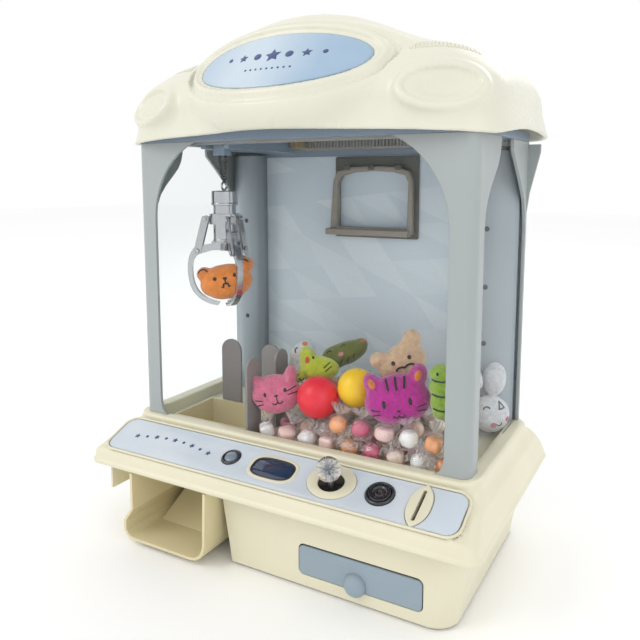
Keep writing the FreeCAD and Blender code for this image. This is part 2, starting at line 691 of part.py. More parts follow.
def front_rail():
    return box(-RAIL_X, -44.6, 322, RAIL_X, -39.4, 330.6)


def bridge():
    """Two beams with end blocks that sit on the rails."""
    body = box(CLAW_X - 14, BRIDGE_Y0, 319, CLAW_X - 9, BRIDGE_Y1, 331.4)
    body = body.fuse(box(CLAW_X + 9, BRIDGE_Y0, 319, CLAW_X + 14, BRIDGE_Y1, 331.4))
    body = body.fuse(box(CLAW_X - 14, BRIDGE_Y0, 331, CLAW_X + 14, BRIDGE_Y0 + 0.5, 336))
    body = body.fuse(box(CLAW_X - 14, -44.4, 331, CLAW_X + 14, BRIDGE_Y0 + 0.6, 336))
    body = body.fuse(box(CLAW_X - 14, BRIDGE_Y1 - 2.6, 319, CLAW_X + 14, BRIDGE_Y1, 336))
    body = body.fuse(box(CLAW_X - 14, BRIDGE_Y1 - 0.1, 331, CLAW_X + 30, 74, 334))
    body = body.fuse(box(CLAW_X + 14.2, 48, 331, CLAW_X + 30, BRIDGE_Y1 + 1, 334))
    body = body.cut(cyl(CLAW_X + 21, 56.6, 320, 2.2, 20))
    return body.removeSplitter()


def bridge_motor():
    return cyl(CLAW_X + 21, 56.6, 334.1, 7.4, 12.5)


def bridge_pinion():
    wheel = gear(5.4, 7.0, 14, 6.0)
    wheel.translate(V(CLAW_X + 21, 56.6, 323))
    return wheel.fuse(cyl(CLAW_X + 21, 56.6, 328, 1.4, 6.0))


def trolley_rack():
    count = 30
    teeth = rack(count, RACK_PITCH, 1.4, 4.0)
    teeth.rotate(V(0, 0, 0), V(0, 0, 1), -90)
    teeth.translate(V(CLAW_X + 8.9, 60, 326))
    return teeth


def trolley():
    plate = box(CLAW_X - 13, -36.4, 332.0, CLAW_X + 13, -6.5, 334.4)
    tube = slab(CLAW_X - 7, -32, CLAW_X + 4.5, -20.5, 314, 333, 2.0)
    body = plate.fuse(tube).cut(slab(CLAW_X - 5.4, -30.5, CLAW_X + 2.9, -22, 300, 340, 1.0))
    for y in (-33.0, -16.4):
        body = body.fuse(box(CLAW_X - 11, y, 334, CLAW_X - 9.6, y + 2, 344))
    return body.cut(cyl(CLAW_X + 4.2, -11.5, 330, 1.6, 10)).removeSplitter()


def trolley_pinion():
    wheel = gear(1.9, 3.0, 7, 4.0)
    wheel.translate(V(CLAW_X + 4.2, -11.5, 326))
    return wheel.fuse(cyl(CLAW_X + 4.2, -11.5, 329, 1.2, 6.0))


def trolley_motor():
    return cyl(CLAW_X + 4.2, -11.5, 335.4, 4.8, 11)


def hoist_motor():
    can = cyl(CLAW_X + 4.2, -21.6, 340.6, 5.2, 8.6, V(1, 0, 0))
    return can.fuse(box(CLAW_X + 4.2, -27, 334.5, CLAW_X + 8, -17, 341))


def hoist_drum():
    """Bobbin on an axle along X; the chains leave its front."""
    x0 = CLAW_X - 9.2
    drum = cyl(x0, -21.2, 340.6, 2.6, 12.8, V(1, 0, 0))
    for x in (x0, x0 + 11.6):
        drum = drum.fuse(cyl(x, -21.2, 340.6, 4.4, 1.0, V(1, 0, 0)))
    return drum


CHAIN_X = (-4.0, 1.6)


def lift_chains():
    """Two chains from the drum down to the hanger, as slim rods that close in."""
    made = []
    for dx in CHAIN_X:
        run = V(math.copysign(1.2, dx) - dx, 0, -9.0)
        made.append(cyl(CLAW_X + dx, CLAW_Y, 303.6, 0.9, 40.4))
        made.append(Part.makeCylinder(0.9, run.Length, V(CLAW_X + dx, CLAW_Y, 303.2), run))
    return made


# ---- claw ---------------------------------------------------------------
HUB_R, HUB_Z = 8.0, 240.0
KNEE_R, KNEE_Z = 22.5, 236.0
LUG_R, LUG_Z = 15.9, 262.0
FINGER_W = 5.0


def claw_hanger():
    eye = Part.makeTorus(3.2, 0.9, V(CLAW_X, CLAW_Y, 289.2), V(1, 0, 0))
    return eye.fuse(cyl(CLAW_X, CLAW_Y, 284.8, 1.5, 1.2)).removeSplitter()


def claw_core():
    """Solenoid tube with its cap and the hub that the fingers hang on."""
    body = cyl(CLAW_X, CLAW_Y, 243, 9.5, 31)
    body = body.fuse(cyl(CLAW_X, CLAW_Y, 273.4, 10.7, 11.4))
    body = body.fuse(cyl(CLAW_X, CLAW_Y, 236, 5.0, 8))
    for a in FINGER_ANGLES:
        for side in (-1, 1):
            plan = [(3, 236.5), (HUB_R + 2.6, 236.5), (HUB_R + 2.6, 244), (3, 244)]
            ear = prism_y(plan, side * 4.0 - 0.8, side * 4.0 + 0.8)
            body = body.fuse(around_claw(ear, a))
        body = body.fuse(around_claw(cyl(HUB_R, -4.5, HUB_Z, 1.1, 9.0, V(0, 1, 0)), a))
    return body.removeSplitter()


def claw_collar():
    body = ring(CLAW_X, CLAW_Y, 258, 9.8, 12.7, 8.6)
    for a in FINGER_ANGLES:
        lug = prism_y([(11, 259.5), (LUG_R + 2.2, 259.5), (LUG_R + 2.2, 264.5), (11, 264.5)], -2.4, 2.4)
        body = body.fuse(around_claw(lug, a))
        body = body.fuse(around_claw(cyl(LUG_R, -5.6, LUG_Z, 1.1, 11.2, V(0, 1, 0)), a))
    return body.cut(cyl(CLAW_X, CLAW_Y, 250, 9.8, 30)).removeSplitter()


def claw_link(angle):
    """Fork of two flat bars with a spacer, from the collar to the knee."""
    dx, dz = KNEE_R - LUG_R, KNEE_Z - LUG_Z
    length = math.hypot(dx, dz)
    ux, uz = dx / length, dz / length
    half = 2.9
    parts = []
    for side in (-1, 1):
        y0 = side * 3.9 - 0.8
        bar = prism_y([(LUG_R - uz * half, LUG_Z + ux * half), (KNEE_R - uz * half, KNEE_Z + ux * half),
                       (KNEE_R + uz * half, KNEE_Z - ux * half), (LUG_R + uz * half, LUG_Z - ux * half)],
                      y0, y0 + 1.6)
        for r, z in ((LUG_R, LUG_Z), (KNEE_R, KNEE_Z)):
            bar = bar.fuse(cyl(r, y0, z, half, 1.6, V(0, 1, 0)))
        bar = bar.cut(cyl(LUG_R, y0 - 1, LUG_Z, 1.4, 4, V(0, 1, 0)))
        parts.append(bar.cut(cyl(KNEE_R, y0 - 1, KNEE_Z, 1.9, 4, V(0, 1, 0))))
    spacer = cyl(LUG_R + ux * 11, -3.3, LUG_Z + uz * 11, 1.2, 6.6, V(0, 1, 0))
    return around_claw(parts[0].multiFuse([parts[1], spacer]).removeSplitter(), angle)


FINGER_OUTER = [(24.6, 239.2), (29.3, 232.5), (31.0, 224.0), (30.8, 214.0), (28.4, 204.6), (22.6, 196.6),
                (14.0, 191.6), (6.4, 189.8)]
FINGER_INNER = [(4.6, 192.6), (12.6, 194.8), (19.8, 199.0), (24.9, 206.2), (27.0, 215.0), (27.0, 223.4),
                (25.2, 229.4), (20.6, 233.2)]


def smooth(points):
    curve = Part.BSplineCurve()
    curve.interpolate([V(x, 0, z) for x, z in points])
    return curve.toShape()


def claw_finger(angle):
    """Arm from the hub to the knee, then the curved prong."""
    outer, inner = smooth(FINGER_OUTER), smooth(FINGER_INNER)
    tip = Part.makeLine(V(6.4, 0, 189.8), V(4.6, 0, 192.6))
    arm = Part.makePolygon([V(20.6, 0, 233.2), V(7.2, 0, 237.2), V(5.6, 0, 240.0), V(7.4, 0, 242.6),
                            V(24.6, 0, 239.2)])
    blade = Part.Face(Part.Wire([outer, tip, inner] + arm.Edges)).extrude(V(0, FINGER_W, 0))
    blade.translate(V(0, -FINGER_W / 2, 0))
    blade = blade.cut(cyl(HUB_R, -4, HUB_Z, 1.4, 8, V(0, 1, 0)))
    blade = blade.fuse(cyl(KNEE_R, -5.2, KNEE_Z, 1.2, 10.4, V(0, 1, 0)))
    return around_claw(blade.removeSplitter(), angle)


# ---- prizes -------------------------------------------------------------
PLUSHES = {
    "cat_pink": (-21.0, -33.0, 123.5, 17.5, 12.0, 16.0),
    "chick_white": (-26.5, 15.5, 140.0, 10.0, 9.0, 14.0),
    "bird_lime": (-1.0, -2.5, 140.0, 16.0, 10.0, 14.0),
    "frog_olive": (13.0, 21.0, 149.0, 17.0, 10.0, 12.0),
    "bear_beige": (77.0, -4.0, 157.0, 20.0, 11.5, 14.0),
    "cat_magenta": (85.5, -31.0, 139.5, 21.5, 12.0, 16.5),
    "caterpillar_green": (118.5, -32.0, 146.0, 9.5, 10.0, 18.0),
    "rabbit_white": (124.0, 57.0, 121.0, 13.0, 15.0, 34.0),
}
BALLS = {
    "red": (15.0, -31.0, 125.5, 16.2),
    "yellow": (44.5, -22.5, 135.5, 14.6),
}
SWEET_R = 8.2


def sweets():
    """Wrapped sweets: a front row, a second row on it, and the fill behind."""
    made = []
    for i in range(9):
        made.append(Part.makeSphere(SWEET_R, V(-27 + i * 18.6, -40.5, FLOOR_Z + 8.4)))
    for i in range(5):
        made.append(Part.makeSphere(SWEET_R, V(38 + i * 19.0, -41.0, FLOOR_Z + 25.4)))
    for row, y in enumerate((-22.5, -4.5, 13.5, 31.5, 49.5)):
        for i in range(7):
            x = -18 + i * 18.4 + (9 if row % 2 else 0)
            if x < 105:
                made.append(Part.makeSphere(SWEET_R, V(x, y, FLOOR_Z + 8.4)))
                if row != 0 or x > 60:
                    made.append(Part.makeSphere(SWEET_R, V(x, y, FLOOR_Z + 25.2)))
    return made


def held_prize():
    """Small bear head that the claw holds."""
    return ellipsoid(CLAW_X + 1, CLAW_Y - 0.5, 212.0, 19.0, 16.0, 12.5)


# ---- fasteners ----------------------------------------------------------
def pillar_screws():
    made = []
    for sx in (-1, 1):
        for z in (140, 282):
            made.append(Part.makeCone(2.6, 1.6, 1.2, V(sx * 122, CAB_Y1, z), V(0, 1, 0)))
        for z in (150, 240):
            made.append(cyl(sx * 118, 78.8, z, 2.0, 1.1, V(0, 1, 0)))
    return made


def base_screws():
    spots = ((120, -50), (120, 55), (-118, 55), (-12, -50), (60, 66), (-15, 72))
    return [cyl(x, y, FOOT_Z - 1.2, 2.6, 1.2) for x, y in spots]


# ---- write every node ---------------------------------------------------
def main():
    os.makedirs("parts", exist_ok=True)
    save("base_tub", base_tub())
    save("base_plate", base_plate(), *drawer_rails())
    save("base_vents", power_switch_frame(), *rear_inlets())
    save("power_switch", power_switch())
    save("rubber_feet", *feet())
    save("deck", deck())
    save("control_overlay", control_overlay())
    rings = [button_ring("start", 6.4, 9.5, 1.6), button_ring("catch", 9.6, 12.6, 2.2)]
    save("control_rings", lcd_bezel(), *rings)
    save("chute_liner", chute_liner())
    save("chute_guards", *chute_guards())
    save("prize_scoop", prize_scoop())
    save("coin_drawer", coin_drawer(), coin_drawer_knob())
    save("coin_plate", coin_plate())
    save("coin_guide", coin_guide())
    save("lcd_window", lcd_window())
    save("start_button", start_button())
    save("catch_button", catch_button())
    save("joystick_plate", joystick_plate())
    save("joystick_collar", joystick_collar())
    save("joystick_ball", joystick_ball())
    save("joystick_shaft", joystick_shaft())
    save("joystick_yoke", joystick_yoke())
    save("joystick_frame", joystick_frame())
    save("main_board", main_board(), lcd_module(), *button_switches())
    save("speaker", speaker())
    save("battery_box", battery_box())
    save("batteries", *batteries())
    save("battery_door", battery_door())
    front, rear = pillars()
    save("pillars_front", *front)
    save("pillars_rear", *rear)
    save("top_frame", top_frame())
    save("windows", *windows())
    save("back_panel", back_panel())
    save("back_sheet", back_sheet())
    save("refill_frame", refill_frame())
    save("refill_door", refill_door(), refill_latch())
    save("roof_shell", roof_shell())
    save("sign_panel", sign_panel())
    save("ceiling_plate", ceiling_plate())
    save("gantry_rails", rear_rail(), front_rail(), rear_rack())
    save("bridge", bridge(), trolley_rack(), bridge_motor())
    save("bridge_pinion", bridge_pinion())
    save("trolley", trolley(), trolley_motor(), hoist_motor())
    save("trolley_pinion", trolley_pinion())
    save("hoist_drum", hoist_drum())
    save("lift_chains", *lift_chains())
    save("claw_hanger", claw_hanger())
    save("claw_core", claw_core())
    save("claw_collar", claw_collar())
    for i, angle in enumerate(FINGER_ANGLES):
        save("claw_link_%d" % (i + 1), claw_link(angle))
        save("claw_finger_%d" % (i + 1), claw_finger(angle))
    save("prize_plushes", *[ellipsoid(*spec) for spec in PLUSHES.values()])
    save("prize_balls", *[Part.makeSphere(r, V(x, y, z)) for x, y, z, r in BALLS.values()])
    save("prize_sweets", *sweets())
    save("prize_bear_orange", held_prize())
    save("screws", *(pillar_screws() + base_screws()))


main()
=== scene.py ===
import bpy
import math
import random
import numpy as np
from mathutils import Matrix, Vector, noise
from mathutils.bvhtree import BVHTree


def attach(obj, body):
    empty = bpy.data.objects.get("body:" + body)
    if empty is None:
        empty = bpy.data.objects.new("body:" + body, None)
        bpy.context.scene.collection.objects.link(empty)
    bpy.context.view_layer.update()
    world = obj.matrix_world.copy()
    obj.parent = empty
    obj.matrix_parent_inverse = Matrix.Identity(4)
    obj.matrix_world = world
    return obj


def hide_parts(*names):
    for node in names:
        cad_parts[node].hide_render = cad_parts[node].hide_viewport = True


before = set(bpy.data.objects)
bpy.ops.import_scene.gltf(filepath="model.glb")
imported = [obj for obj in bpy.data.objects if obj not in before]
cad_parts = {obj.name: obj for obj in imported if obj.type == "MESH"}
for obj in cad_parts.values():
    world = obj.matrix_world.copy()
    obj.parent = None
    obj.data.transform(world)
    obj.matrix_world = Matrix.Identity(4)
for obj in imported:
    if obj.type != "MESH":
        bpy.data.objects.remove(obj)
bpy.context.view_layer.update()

MM = 0.001
PI = math.pi

# Sizes in millimetres, as in the design.
DECK_Z, FLOOR_Z = 95.5, 86.0
PANEL_TILT, PANEL_Y, PANEL_Z = math.radians(22.5), -80.4, 84.0
CONTROLS = {"start": -33.3, "lcd": 5.3, "joystick": 53.6, "catch": 90.5, "coin": 119.3}
CONTROL_V = 0.8
CLAW = (-77.0, -26.0)
CHUTE = (-115.0, -47.6, -44.0, 1.0)
SIGN_TILT, SIGN_Y, SIGN_Z = math.radians(40.0), -71.5, 377.0
SIGN_BOW = 17.0 / 75.0 ** 2
ROOF_Y, ROOF_HALF_X, ROOF_SPRING_Z, ROOF_RISE = 18.0, 161.0, 345.0, 53.0
FINGER_ANGLES = (210.0, 330.0, 90.0)
CHAIN_X = (-4.0, 1.6)
LUG_R, LUG_Z, KNEE_R, KNEE_Z = 15.9, 262.0, 22.5, 236.0


# ---- implicit shapes, in millimetres ------------------------------------
def smin(a, b, k):
    h = np.clip(0.5 + 0.5 * (b - a) / k, 0.0, 1.0)
    return b + (a - b) * h - k * h * (1.0 - h)


def smax(a, b, k):
    return -smin(-a, -b, k)


def poly(px, py, pts):
    """Signed distance to a polygon, negative inside."""
    shape = np.broadcast(px, py).shape
    dist = np.full(shape, 1e12)
    sign = np.ones(shape)
    for i, (ax, ay) in enumerate(pts):
        bx, by = pts[i - 1]
        ex, ey = bx - ax, by - ay
        wx, wy = px - ax, py - ay
        t = np.clip((wx * ex + wy * ey) / (ex * ex + ey * ey), 0.0, 1.0)
        dist = np.minimum(dist, (wx - ex * t) ** 2 + (wy - ey * t) ** 2)
        above, below, left = py >= ay, py < by, ex * wy > ey * wx
        flip = (above & below & left) | (~above & ~below & ~left)
        sign = np.where(flip, -sign, sign)
    return sign * np.sqrt(dist)


def rect(px, py, x0, y0, x1, y1, r=0.0, r_rear=None):
    """Signed distance to a rectangle with rounded corners."""
    cx, cy, hx, hy = (x0 + x1) / 2, (y0 + y1) / 2, (x1 - x0) / 2, (y1 - y0) / 2
    rad = r if r_rear is None else np.where(py < cy, r, r_rear)
    qx = np.abs(px - cx) - hx + rad
    qy = np.abs(py - cy) - hy + rad
    return np.minimum(np.maximum(qx, qy), 0) + np.hypot(np.maximum(qx, 0), np.maximum(qy, 0)) - rad


def oval(px, py, a, b):
    """Near enough signed distance to an ellipse about the origin."""
    k0 = np.sqrt((px / a) ** 2 + (py / b) ** 2) + 1e-9
    k1 = np.sqrt((px / a ** 2) ** 2 + (py / b ** 2) ** 2) + 1e-9
    return k0 * (k0 - 1.0) / k1


def egg(px, py, pz, a, b, c):
    """Near enough signed distance to an ellipsoid about the origin."""
    k0 = np.sqrt((px / a) ** 2 + (py / b) ** 2 + (pz / c) ** 2) + 1e-9
    k1 = np.sqrt((px / a ** 2) ** 2 + (py / b ** 2) ** 2 + (pz / c ** 2) ** 2) + 1e-9
    return k0 * (k0 - 1.0) / k1


def slope_of(f, x, y, z, e=0.4):
    value = f(x, y, z)
    gx = (f(x + e, y, z) - value) / e
    gy = (f(x, y + e, z) - value) / e
    gz = (f(x, y, z + e) - value) / e
    return value, gx, gy, gz


EDGES = [(a, b) for a in range(8) for b in range(a + 1, 8) if bin(a ^ b).count("1") == 1]


def surface(name, f, lo, hi, step, passes=3):
    """Closed quad mesh of f = 0: one vertex in each crossed cell, drawn onto the surface."""
    axes = [np.arange(a, b + step, step) for a, b in zip(lo, hi)]
    gx, gy, gz = axes[0][:, None, None], axes[1][None, :, None], axes[2][None, None, :]
    size = tuple(len(a) for a in axes)
    val = np.broadcast_to(f(gx, gy, gz), size).astype(np.float32)
    solid = val < 0
    cells = tuple(n - 1 for n in size)
    count = np.zeros(cells, np.int8)
    for c in range(8):
        i, j, k = c & 1, (c >> 1) & 1, (c >> 2) & 1
        count += solid[i:i + cells[0], j:j + cells[1], k:k + cells[2]]
    ijk = np.argwhere((count > 0) & (count < 8))
    number = np.full(cells, -1, np.int64)
    number[tuple(ijk.T)] = np.arange(len(ijk))
    offs = np.array([[c & 1, (c >> 1) & 1, (c >> 2) & 1] for c in range(8)])
    corner = np.stack([val[tuple((ijk + o).T)] for o in offs], 1)
    total = np.zeros((len(ijk), 3))
    hits = np.zeros((len(ijk), 1))
    for a, b in EDGES:
        va, vb = corner[:, a], corner[:, b]
        crossed = (va < 0) != (vb < 0)
        t = np.where(crossed, va / np.where(crossed, va - vb, 1.0), 0.0)[:, None]
        total += np.where(crossed[:, None], offs[a] + t * (offs[b] - offs[a]), 0.0)
        hits += crossed[:, None]
    pts = np.array(lo) + step * (ijk + total / np.maximum(hits, 1))
    for _ in range(passes):
        value, nx, ny, nz = slope_of(f, pts[:, 0], pts[:, 1], pts[:, 2])
        grad = np.stack([nx, ny, nz], 1)
        move = (value / np.maximum((grad ** 2).sum(1), 1e-6))[:, None] * grad
        long = np.linalg.norm(move, axis=1, keepdims=True)
        pts -= move * np.minimum(1.0, 0.45 * step / np.maximum(long, 1e-9))
    faces = []
    for axis in range(3):
        one, two = [(1, 2), (2, 0), (0, 1)][axis]
        first = np.take(solid, np.arange(size[axis] - 1), axis)
        second = np.take(solid, np.arange(1, size[axis]), axis)
        at = np.argwhere(first != second)
        keep = (at[:, one] > 0) & (at[:, two] > 0) & (at[:,
                                                         one] < size[one] - 1) & (at[:,
                                                         two] < size[two] - 1)
        at = at[keep]
        quad = []
        for da, db in ((1, 1), (0, 1), (0, 0), (1, 0)):
            cell = at.copy()
            cell[:, one] -= da
            cell[:, two] -= db
            quad.append(number[tuple(cell.T)])
        quad = np.stack(quad, 1)
        turn = ~first[tuple(at.T)]
        quad[turn] = quad[turn][:, ::-1]
        faces.append(quad)
    return mesh_piece(name, pts, np.concatenate(faces).tolist())


# ---- mesh helpers -------------------------------------------------------
def mesh_piece(name, pts, faces, smooth=True):
    mesh = bpy.data.meshes.new(name)
    mesh.from_pydata((np.asarray(pts) * MM).tolist(), [], faces)
    mesh.validate()
    if smooth:
        mesh.shade_smooth()
    obj = bpy.data.objects.new(name, mesh)
    bpy.context.scene.collection.objects.link(obj)
    return obj


def bands(rows, n, wrap=0):
    """Quads from each row of n points to the next; rows close on themselves, and on row 0 after wrap."""
    quads = []
    for r in rows:
        s = (r + 1) % wrap if wrap else r + 1
        quads += [[r * n + k, r * n + (k + 1) % n, s * n + (k + 1) % n, s * n + k] for k in range(n)]
    return quads


def caps(last, n):
    """Faces that close the first row and the last one."""
    return [list(range(n))[::-1], [last * n + k for k in range(n)]]


def join(name, pieces):
    """One mesh piece out of (points, faces) pairs."""
    pts, faces, base = [], [], 0
    for p, f in pieces:
        pts.append(np.asarray(p, float))
        faces += [[i + base for i in face] for face in f]
        base += len(p)
    return mesh_piece(name, np.concatenate(pts), faces)


def place(obj, body, material, replaces=()):
    obj.data.materials.clear()
    for m in material if isinstance(material, list) else [material]:
        obj.data.materials.append(m)
    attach(obj, body)
    if replaces:
        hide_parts(*replaces)
    return obj


def to_panel(x, v, w):
    """A point of the control panel, x across, v up the slope, w off it."""
    c, s = math.cos(PANEL_TILT), math.sin(PANEL_TILT)
    return np.stack(np.broadcast_arrays(x, PANEL_Y + v * c - w * s, PANEL_Z + v * s + w * c), -1)


def panel_coords(y, z):
    c, s = math.cos(PANEL_TILT), math.sin(PANEL_TILT)
    dy, dz = y - PANEL_Y, z - PANEL_Z
    return dy * c + dz * s, -dy * s + dz * c


# ---- roof ---------------------------------------------------------------
def dome_raw(x, y, z):
    dy = y - ROOF_Y
    n = np.where(dy < 0, 4.8, 9.0)
    b = np.where(dy < 0, 90.0, 83.0)
    g = (np.abs(x / ROOF_HALF_X) ** n + np.abs(dy / b) ** n + 1e-12) ** (1.0 / n)
    k = np.clip((z - ROOF_SPRING_Z) / ROOF_RISE, 0.0, 2.0)
    wall = 0.965 + 0.035 * np.clip((ROOF_SPRING_Z - z) / 22.0, 0.0, 1.0)
    p = 3.2 - 1.4 * (np.maximum(-dy / b, 0.0) / np.maximum(g, 0.25)) ** 2
    return ((g / wall) ** p + k ** 2.25) ** (1.0 / p) - 1.0


def dome(x, y, z):
    value, gx, gy, gz = slope_of(dome_raw, x, y, z)
    return value / np.sqrt(gx ** 2 + gy ** 2 + gz ** 2 + 1e-9)


def sign_coords(x, y, z):
    """v up the sign face, u out of it; the face is bowed back towards its ends."""
    dy = y - SIGN_Y - SIGN_BOW * np.minimum(np.abs(x), 110.0) ** 2
    dz = z - SIGN_Z
    c, s = math.cos(SIGN_TILT), math.sin(SIGN_TILT)
    return dy * s + dz * c, -dy * c + dz * s


def dish_coords(x, y, z, side):
    a, b = math.radians(57.0), side * math.radians(24.0)
    dx, dy, dz = x - side * 120.8, y + 60.0, z - 352.4
    p = dx * math.cos(b) + dy * math.sin(b)
    q0 = -dx * math.sin(b) + dy * math.cos(b)
    q = q0 * math.cos(a) + dz * math.sin(a)
    return p, q, -q0 * math.sin(a) + dz * math.cos(a)


def roof_outer(x, y, z):
    f = dome(x, y, z)
    v, u = sign_coords(x, y, z)
    mound = smax(egg(x, y + 15.0, z - 349.5, 106.0, 68.0, 67.0), u + 5.0, 7.0)
    f = smin(f, mound, 12.0)
    t = np.clip(-u / 24.0, 0.0, 1.0)
    grow = np.sqrt(np.clip(1.0 - (1.0 - t) ** 2, 0.0, 1.0))
    boss = oval(x, v, 84.0 + 22.0 * grow, 36.5 + 11.5 * grow)
    boss = smax(smax(boss, u, 3.0), -u - 60.0, 3.0)
    f = smin(f, boss, 5.0)
    f = smax(f, -smax(oval(x, v, 86.0, 38.5), -u, 2.0), 2.0)
    f = smin(f, np.hypot(oval(x, v, 78.5, 32.5), u + 0.4) - 2.7, 1.2)
    f = smax(f, 1.7 - np.hypot(oval(x, v, 85.5, 38.2), u + 0.2), 1.2)
    for side in (-1, 1):
        p, q, w = dish_coords(x, y, z, side)
        rim = smax(smax(oval(p, q, 30.5, 18.0), w - 2.2, 4.0), -w - 16.0, 2.0)
        f = smin(f, rim, 5.0)
        f = smax(f, -egg(p, q, w - 6.4, 24.0, 12.6, 9.4), 3.0)
        f = smax(f, -smax(oval(p, q, 24.5, 13.0), 1.0 - w, 1.0), 2.5)
    return f


def roof_rim(x, y):
    front = 5.3 * np.clip(1.0 - (x / 150.0) ** 2, 0.0, 1.0)
    side = 6.2 * np.clip(1.0 - ((y - 30.0) / 76.0) ** 2, 0.0, 1.0) * np.clip((np.abs(x) - 120.0) / 30.0,
                                                                             0.0, 1.0)
    return 323.0 + front + side


def roof_shape(x, y, z):
    outer = roof_outer(x, y, z)
    v, u = sign_coords(x, y, z)
    thick = 3.4 + 2.4 * np.clip(1.0 - oval(x, v, 80.0, 33.0) / 10.0, 0.0, 1.0)
    f = smax(outer, -(outer + thick), 0.6)
    f = smax(f, -smax(oval(x, v, 71.5, 26.5), -(u + 1.7), 0.8), 1.0)
    return smax(f, roof_rim(x, y) - z, 1.2)


def sign_plate(name, a, b, u0, u1, rings=26, turns=144):
    """Oval plate that follows the bowed sign face."""
    pts = []
    for u in (u1, u0):
        for i in range(rings + 1):
            for j in range(turns):
                t = 2 * PI * j / turns
                x, v = a * math.cos(t) * i / rings, b * math.sin(t) * i / rings
                pts.append(sign_point(x, v, u))
    faces = []
    layer = (rings + 1) * turns
    for side in (0, 1):
        for i in range(rings):
            for j in range(turns):
                k = (j + 1) % turns
                q = [side * layer + i * turns + j, side * layer + (i + 1) * turns + j,
                     side * layer + (i + 1) * turns + k, side * layer + i * turns + k]
                faces.append(q if side == 0 else q[::-1])
    for j in range(turns):
        k = (j + 1) % turns
        faces.append([rings * turns + j, layer + rings * turns + j, layer + rings * turns + k,
                      rings * turns + k])
    return mesh_piece(name, pts, faces)


def sign_point(x, v, u):
    c, s = math.cos(SIGN_TILT), math.sin(SIGN_TILT)
    y = SIGN_Y + SIGN_BOW * x * x + v * s - u * c
    return (x, y, SIGN_Z + v * c + u * s)


def roof_grille(name, side):
    """Small square bars of the perforated patch behind a dish."""
    pieces = []
    for i in range(-9, 10):
        for j in range(0, 9):
            p, q = i * 2.5, 21.5 + j * 2.5
            if (p / 24.0) ** 2 + ((q - 19.0) / 21.0) ** 2 > 1.0 or oval(p, q, 31.0, 20.5) < 0:
                continue
            a, b = math.radians(46.0), side * math.radians(24.0)
            base = Vector((p, q * math.cos(a), q * math.sin(a)))
            x = side * 120.0 + base.x * math.cos(b) - base.y * math.sin(b)
            y = -49.5 + base.x * math.sin(b) + base.y * math.cos(b)
            z = 352.0 + base.z
            pieces.append(grille_peg(x, y, z))
    return join(name, pieces)


def grille_peg(x, y, z):
    """Rounded peg dropped onto the roof under the given point."""
    top = np.linspace(420.0, 330.0, 181)
    values = roof_outer(np.full(181, x), np.full(181, y), top)
    z = float(top[np.argmax(values < 0)])
    value, gx, gy, gz = slope_of(roof_outer, np.array([x]), np.array([y]), np.array([z]))
    n = Vector((float(gx[0]), float(gy[0]), float(gz[0]))).normalized()
    u = (Vector((1, 0, 0)) - n * n.x).normalized()
    v = n.cross(u)
    centre = Vector((x, y, z)) - n * float(value[0])
    pts = []
    for lift, half in ((-0.5, 0.95), (0.35, 0.9), (0.65, 0.6)):
        for k in range(8):
            t = PI / 4 * k + PI / 8
            pts.append(tuple(centre + n * lift + u * (half * math.cos(t)) + v * (half * math.sin(t))))
    return pts, bands(range(2), 8) + caps(2, 8)[::-1]


# ---- deck ---------------------------------------------------------------
DECK_SIDE = [(-101.5, 40), (-101.5, 63), (-101.0, 68), (-99.8, 75.6), (-61.3, 91.5), (88.0, 91.2),
             (93.0, 88.5), (98.0, 80), (101.0, 69), (101.5, 40)]
DECK_FRONT = [(165, 40), (165, 64), (162.6, 74), (158.0, 84), (152.0, 91.2)]


def shrunk(pts, t, cx, cz):
    return [(x - math.copysign(t, x - cx), z - t if z > cz else z) for x, z in pts]


DECK_SIDE_CORE = shrunk(DECK_SIDE, 5.0, 0, 66)
DECK_FRONT_CORE = shrunk(DECK_FRONT + [(-x, z) for x, z in reversed(DECK_FRONT)], 5.0, 0, 66)


def deck_outer(x, y, z):
    side = poly(y, z, DECK_SIDE_CORE) - 5.0
    front = poly(x, z, DECK_FRONT_CORE) - 5.0
    f = smax(side, front, 7.0)
    pad = smax(rect(x, y, -151.0, -60.5, 151.0, 88.0, 15.0), z - DECK_Z, 3.0)
    f = smin(f, smax(pad, 70.0 - z, 1.0), 3.5)
    v, w = panel_coords(y, z)
    border = rect(x, v, -150.4, -19.5, 150.4, 18.2, 10.0)
    f = smin(f, np.hypot(border, w - 0.2) - 1.1, 1.4)
    plan = rect(x, y, -165.0, -101.5, 165.0, 101.5, 10.0, 9.0)
    f = smax(f, plan + 1.3, 2.0)
    flange = smax(plan, np.abs(z - 63.9) - 2.0, 2.0)
    return smin(f, flange, 1.0)


def deck_shape(x, y, z):
    outer = deck_outer(x, y, z)
    f = smax(outer, -(outer + 2.5), 0.6)
    f = smin(f, smax(rect(x, y, -140.2, -52.4, 140.2, 81.2, 3.0), np.maximum(z - 94.0, 83.8 - z), 0.8), 0.8)
    f = smax(f, -smax(rect(x, y, -137.8, -50.0, 137.8, 78.8, 2.0), FLOOR_Z - z, 0.6), 1.0)
    x0, y0, x1, y1 = CHUTE
    f = smax(f, -rect(x, y, x0 - 2.3, y0 - 2.3, x1 + 2.3, y1 + 2.3, 1.0), 0.6)
    v, w = panel_coords(y, z)
    dv = v - CONTROL_V
    holes = [np.hypot(x - CONTROLS["start"], dv) - 6.4, oval(x - CONTROLS["lcd"], dv, 16.5, 7.4),
             oval(x - CONTROLS["joystick"], dv, 11.6, 10.4), np.hypot(x - CONTROLS["catch"], dv) - 8.9,
             rect(x - CONTROLS["coin"], v + 0.8, -1.6, -13.0, 1.6, 13.0, 1.0)]
    for hole in holes:
        f = smax(f, -smax(hole, -w - 9.0, 0.5), 0.7)
    return smax(f, 61.2 - z, 0.8)


# ---- materials ----------------------------------------------------------
def nodes_of(material):
    material.use_nodes = True
    tree = material.node_tree
    tree.nodes.clear()
    return tree


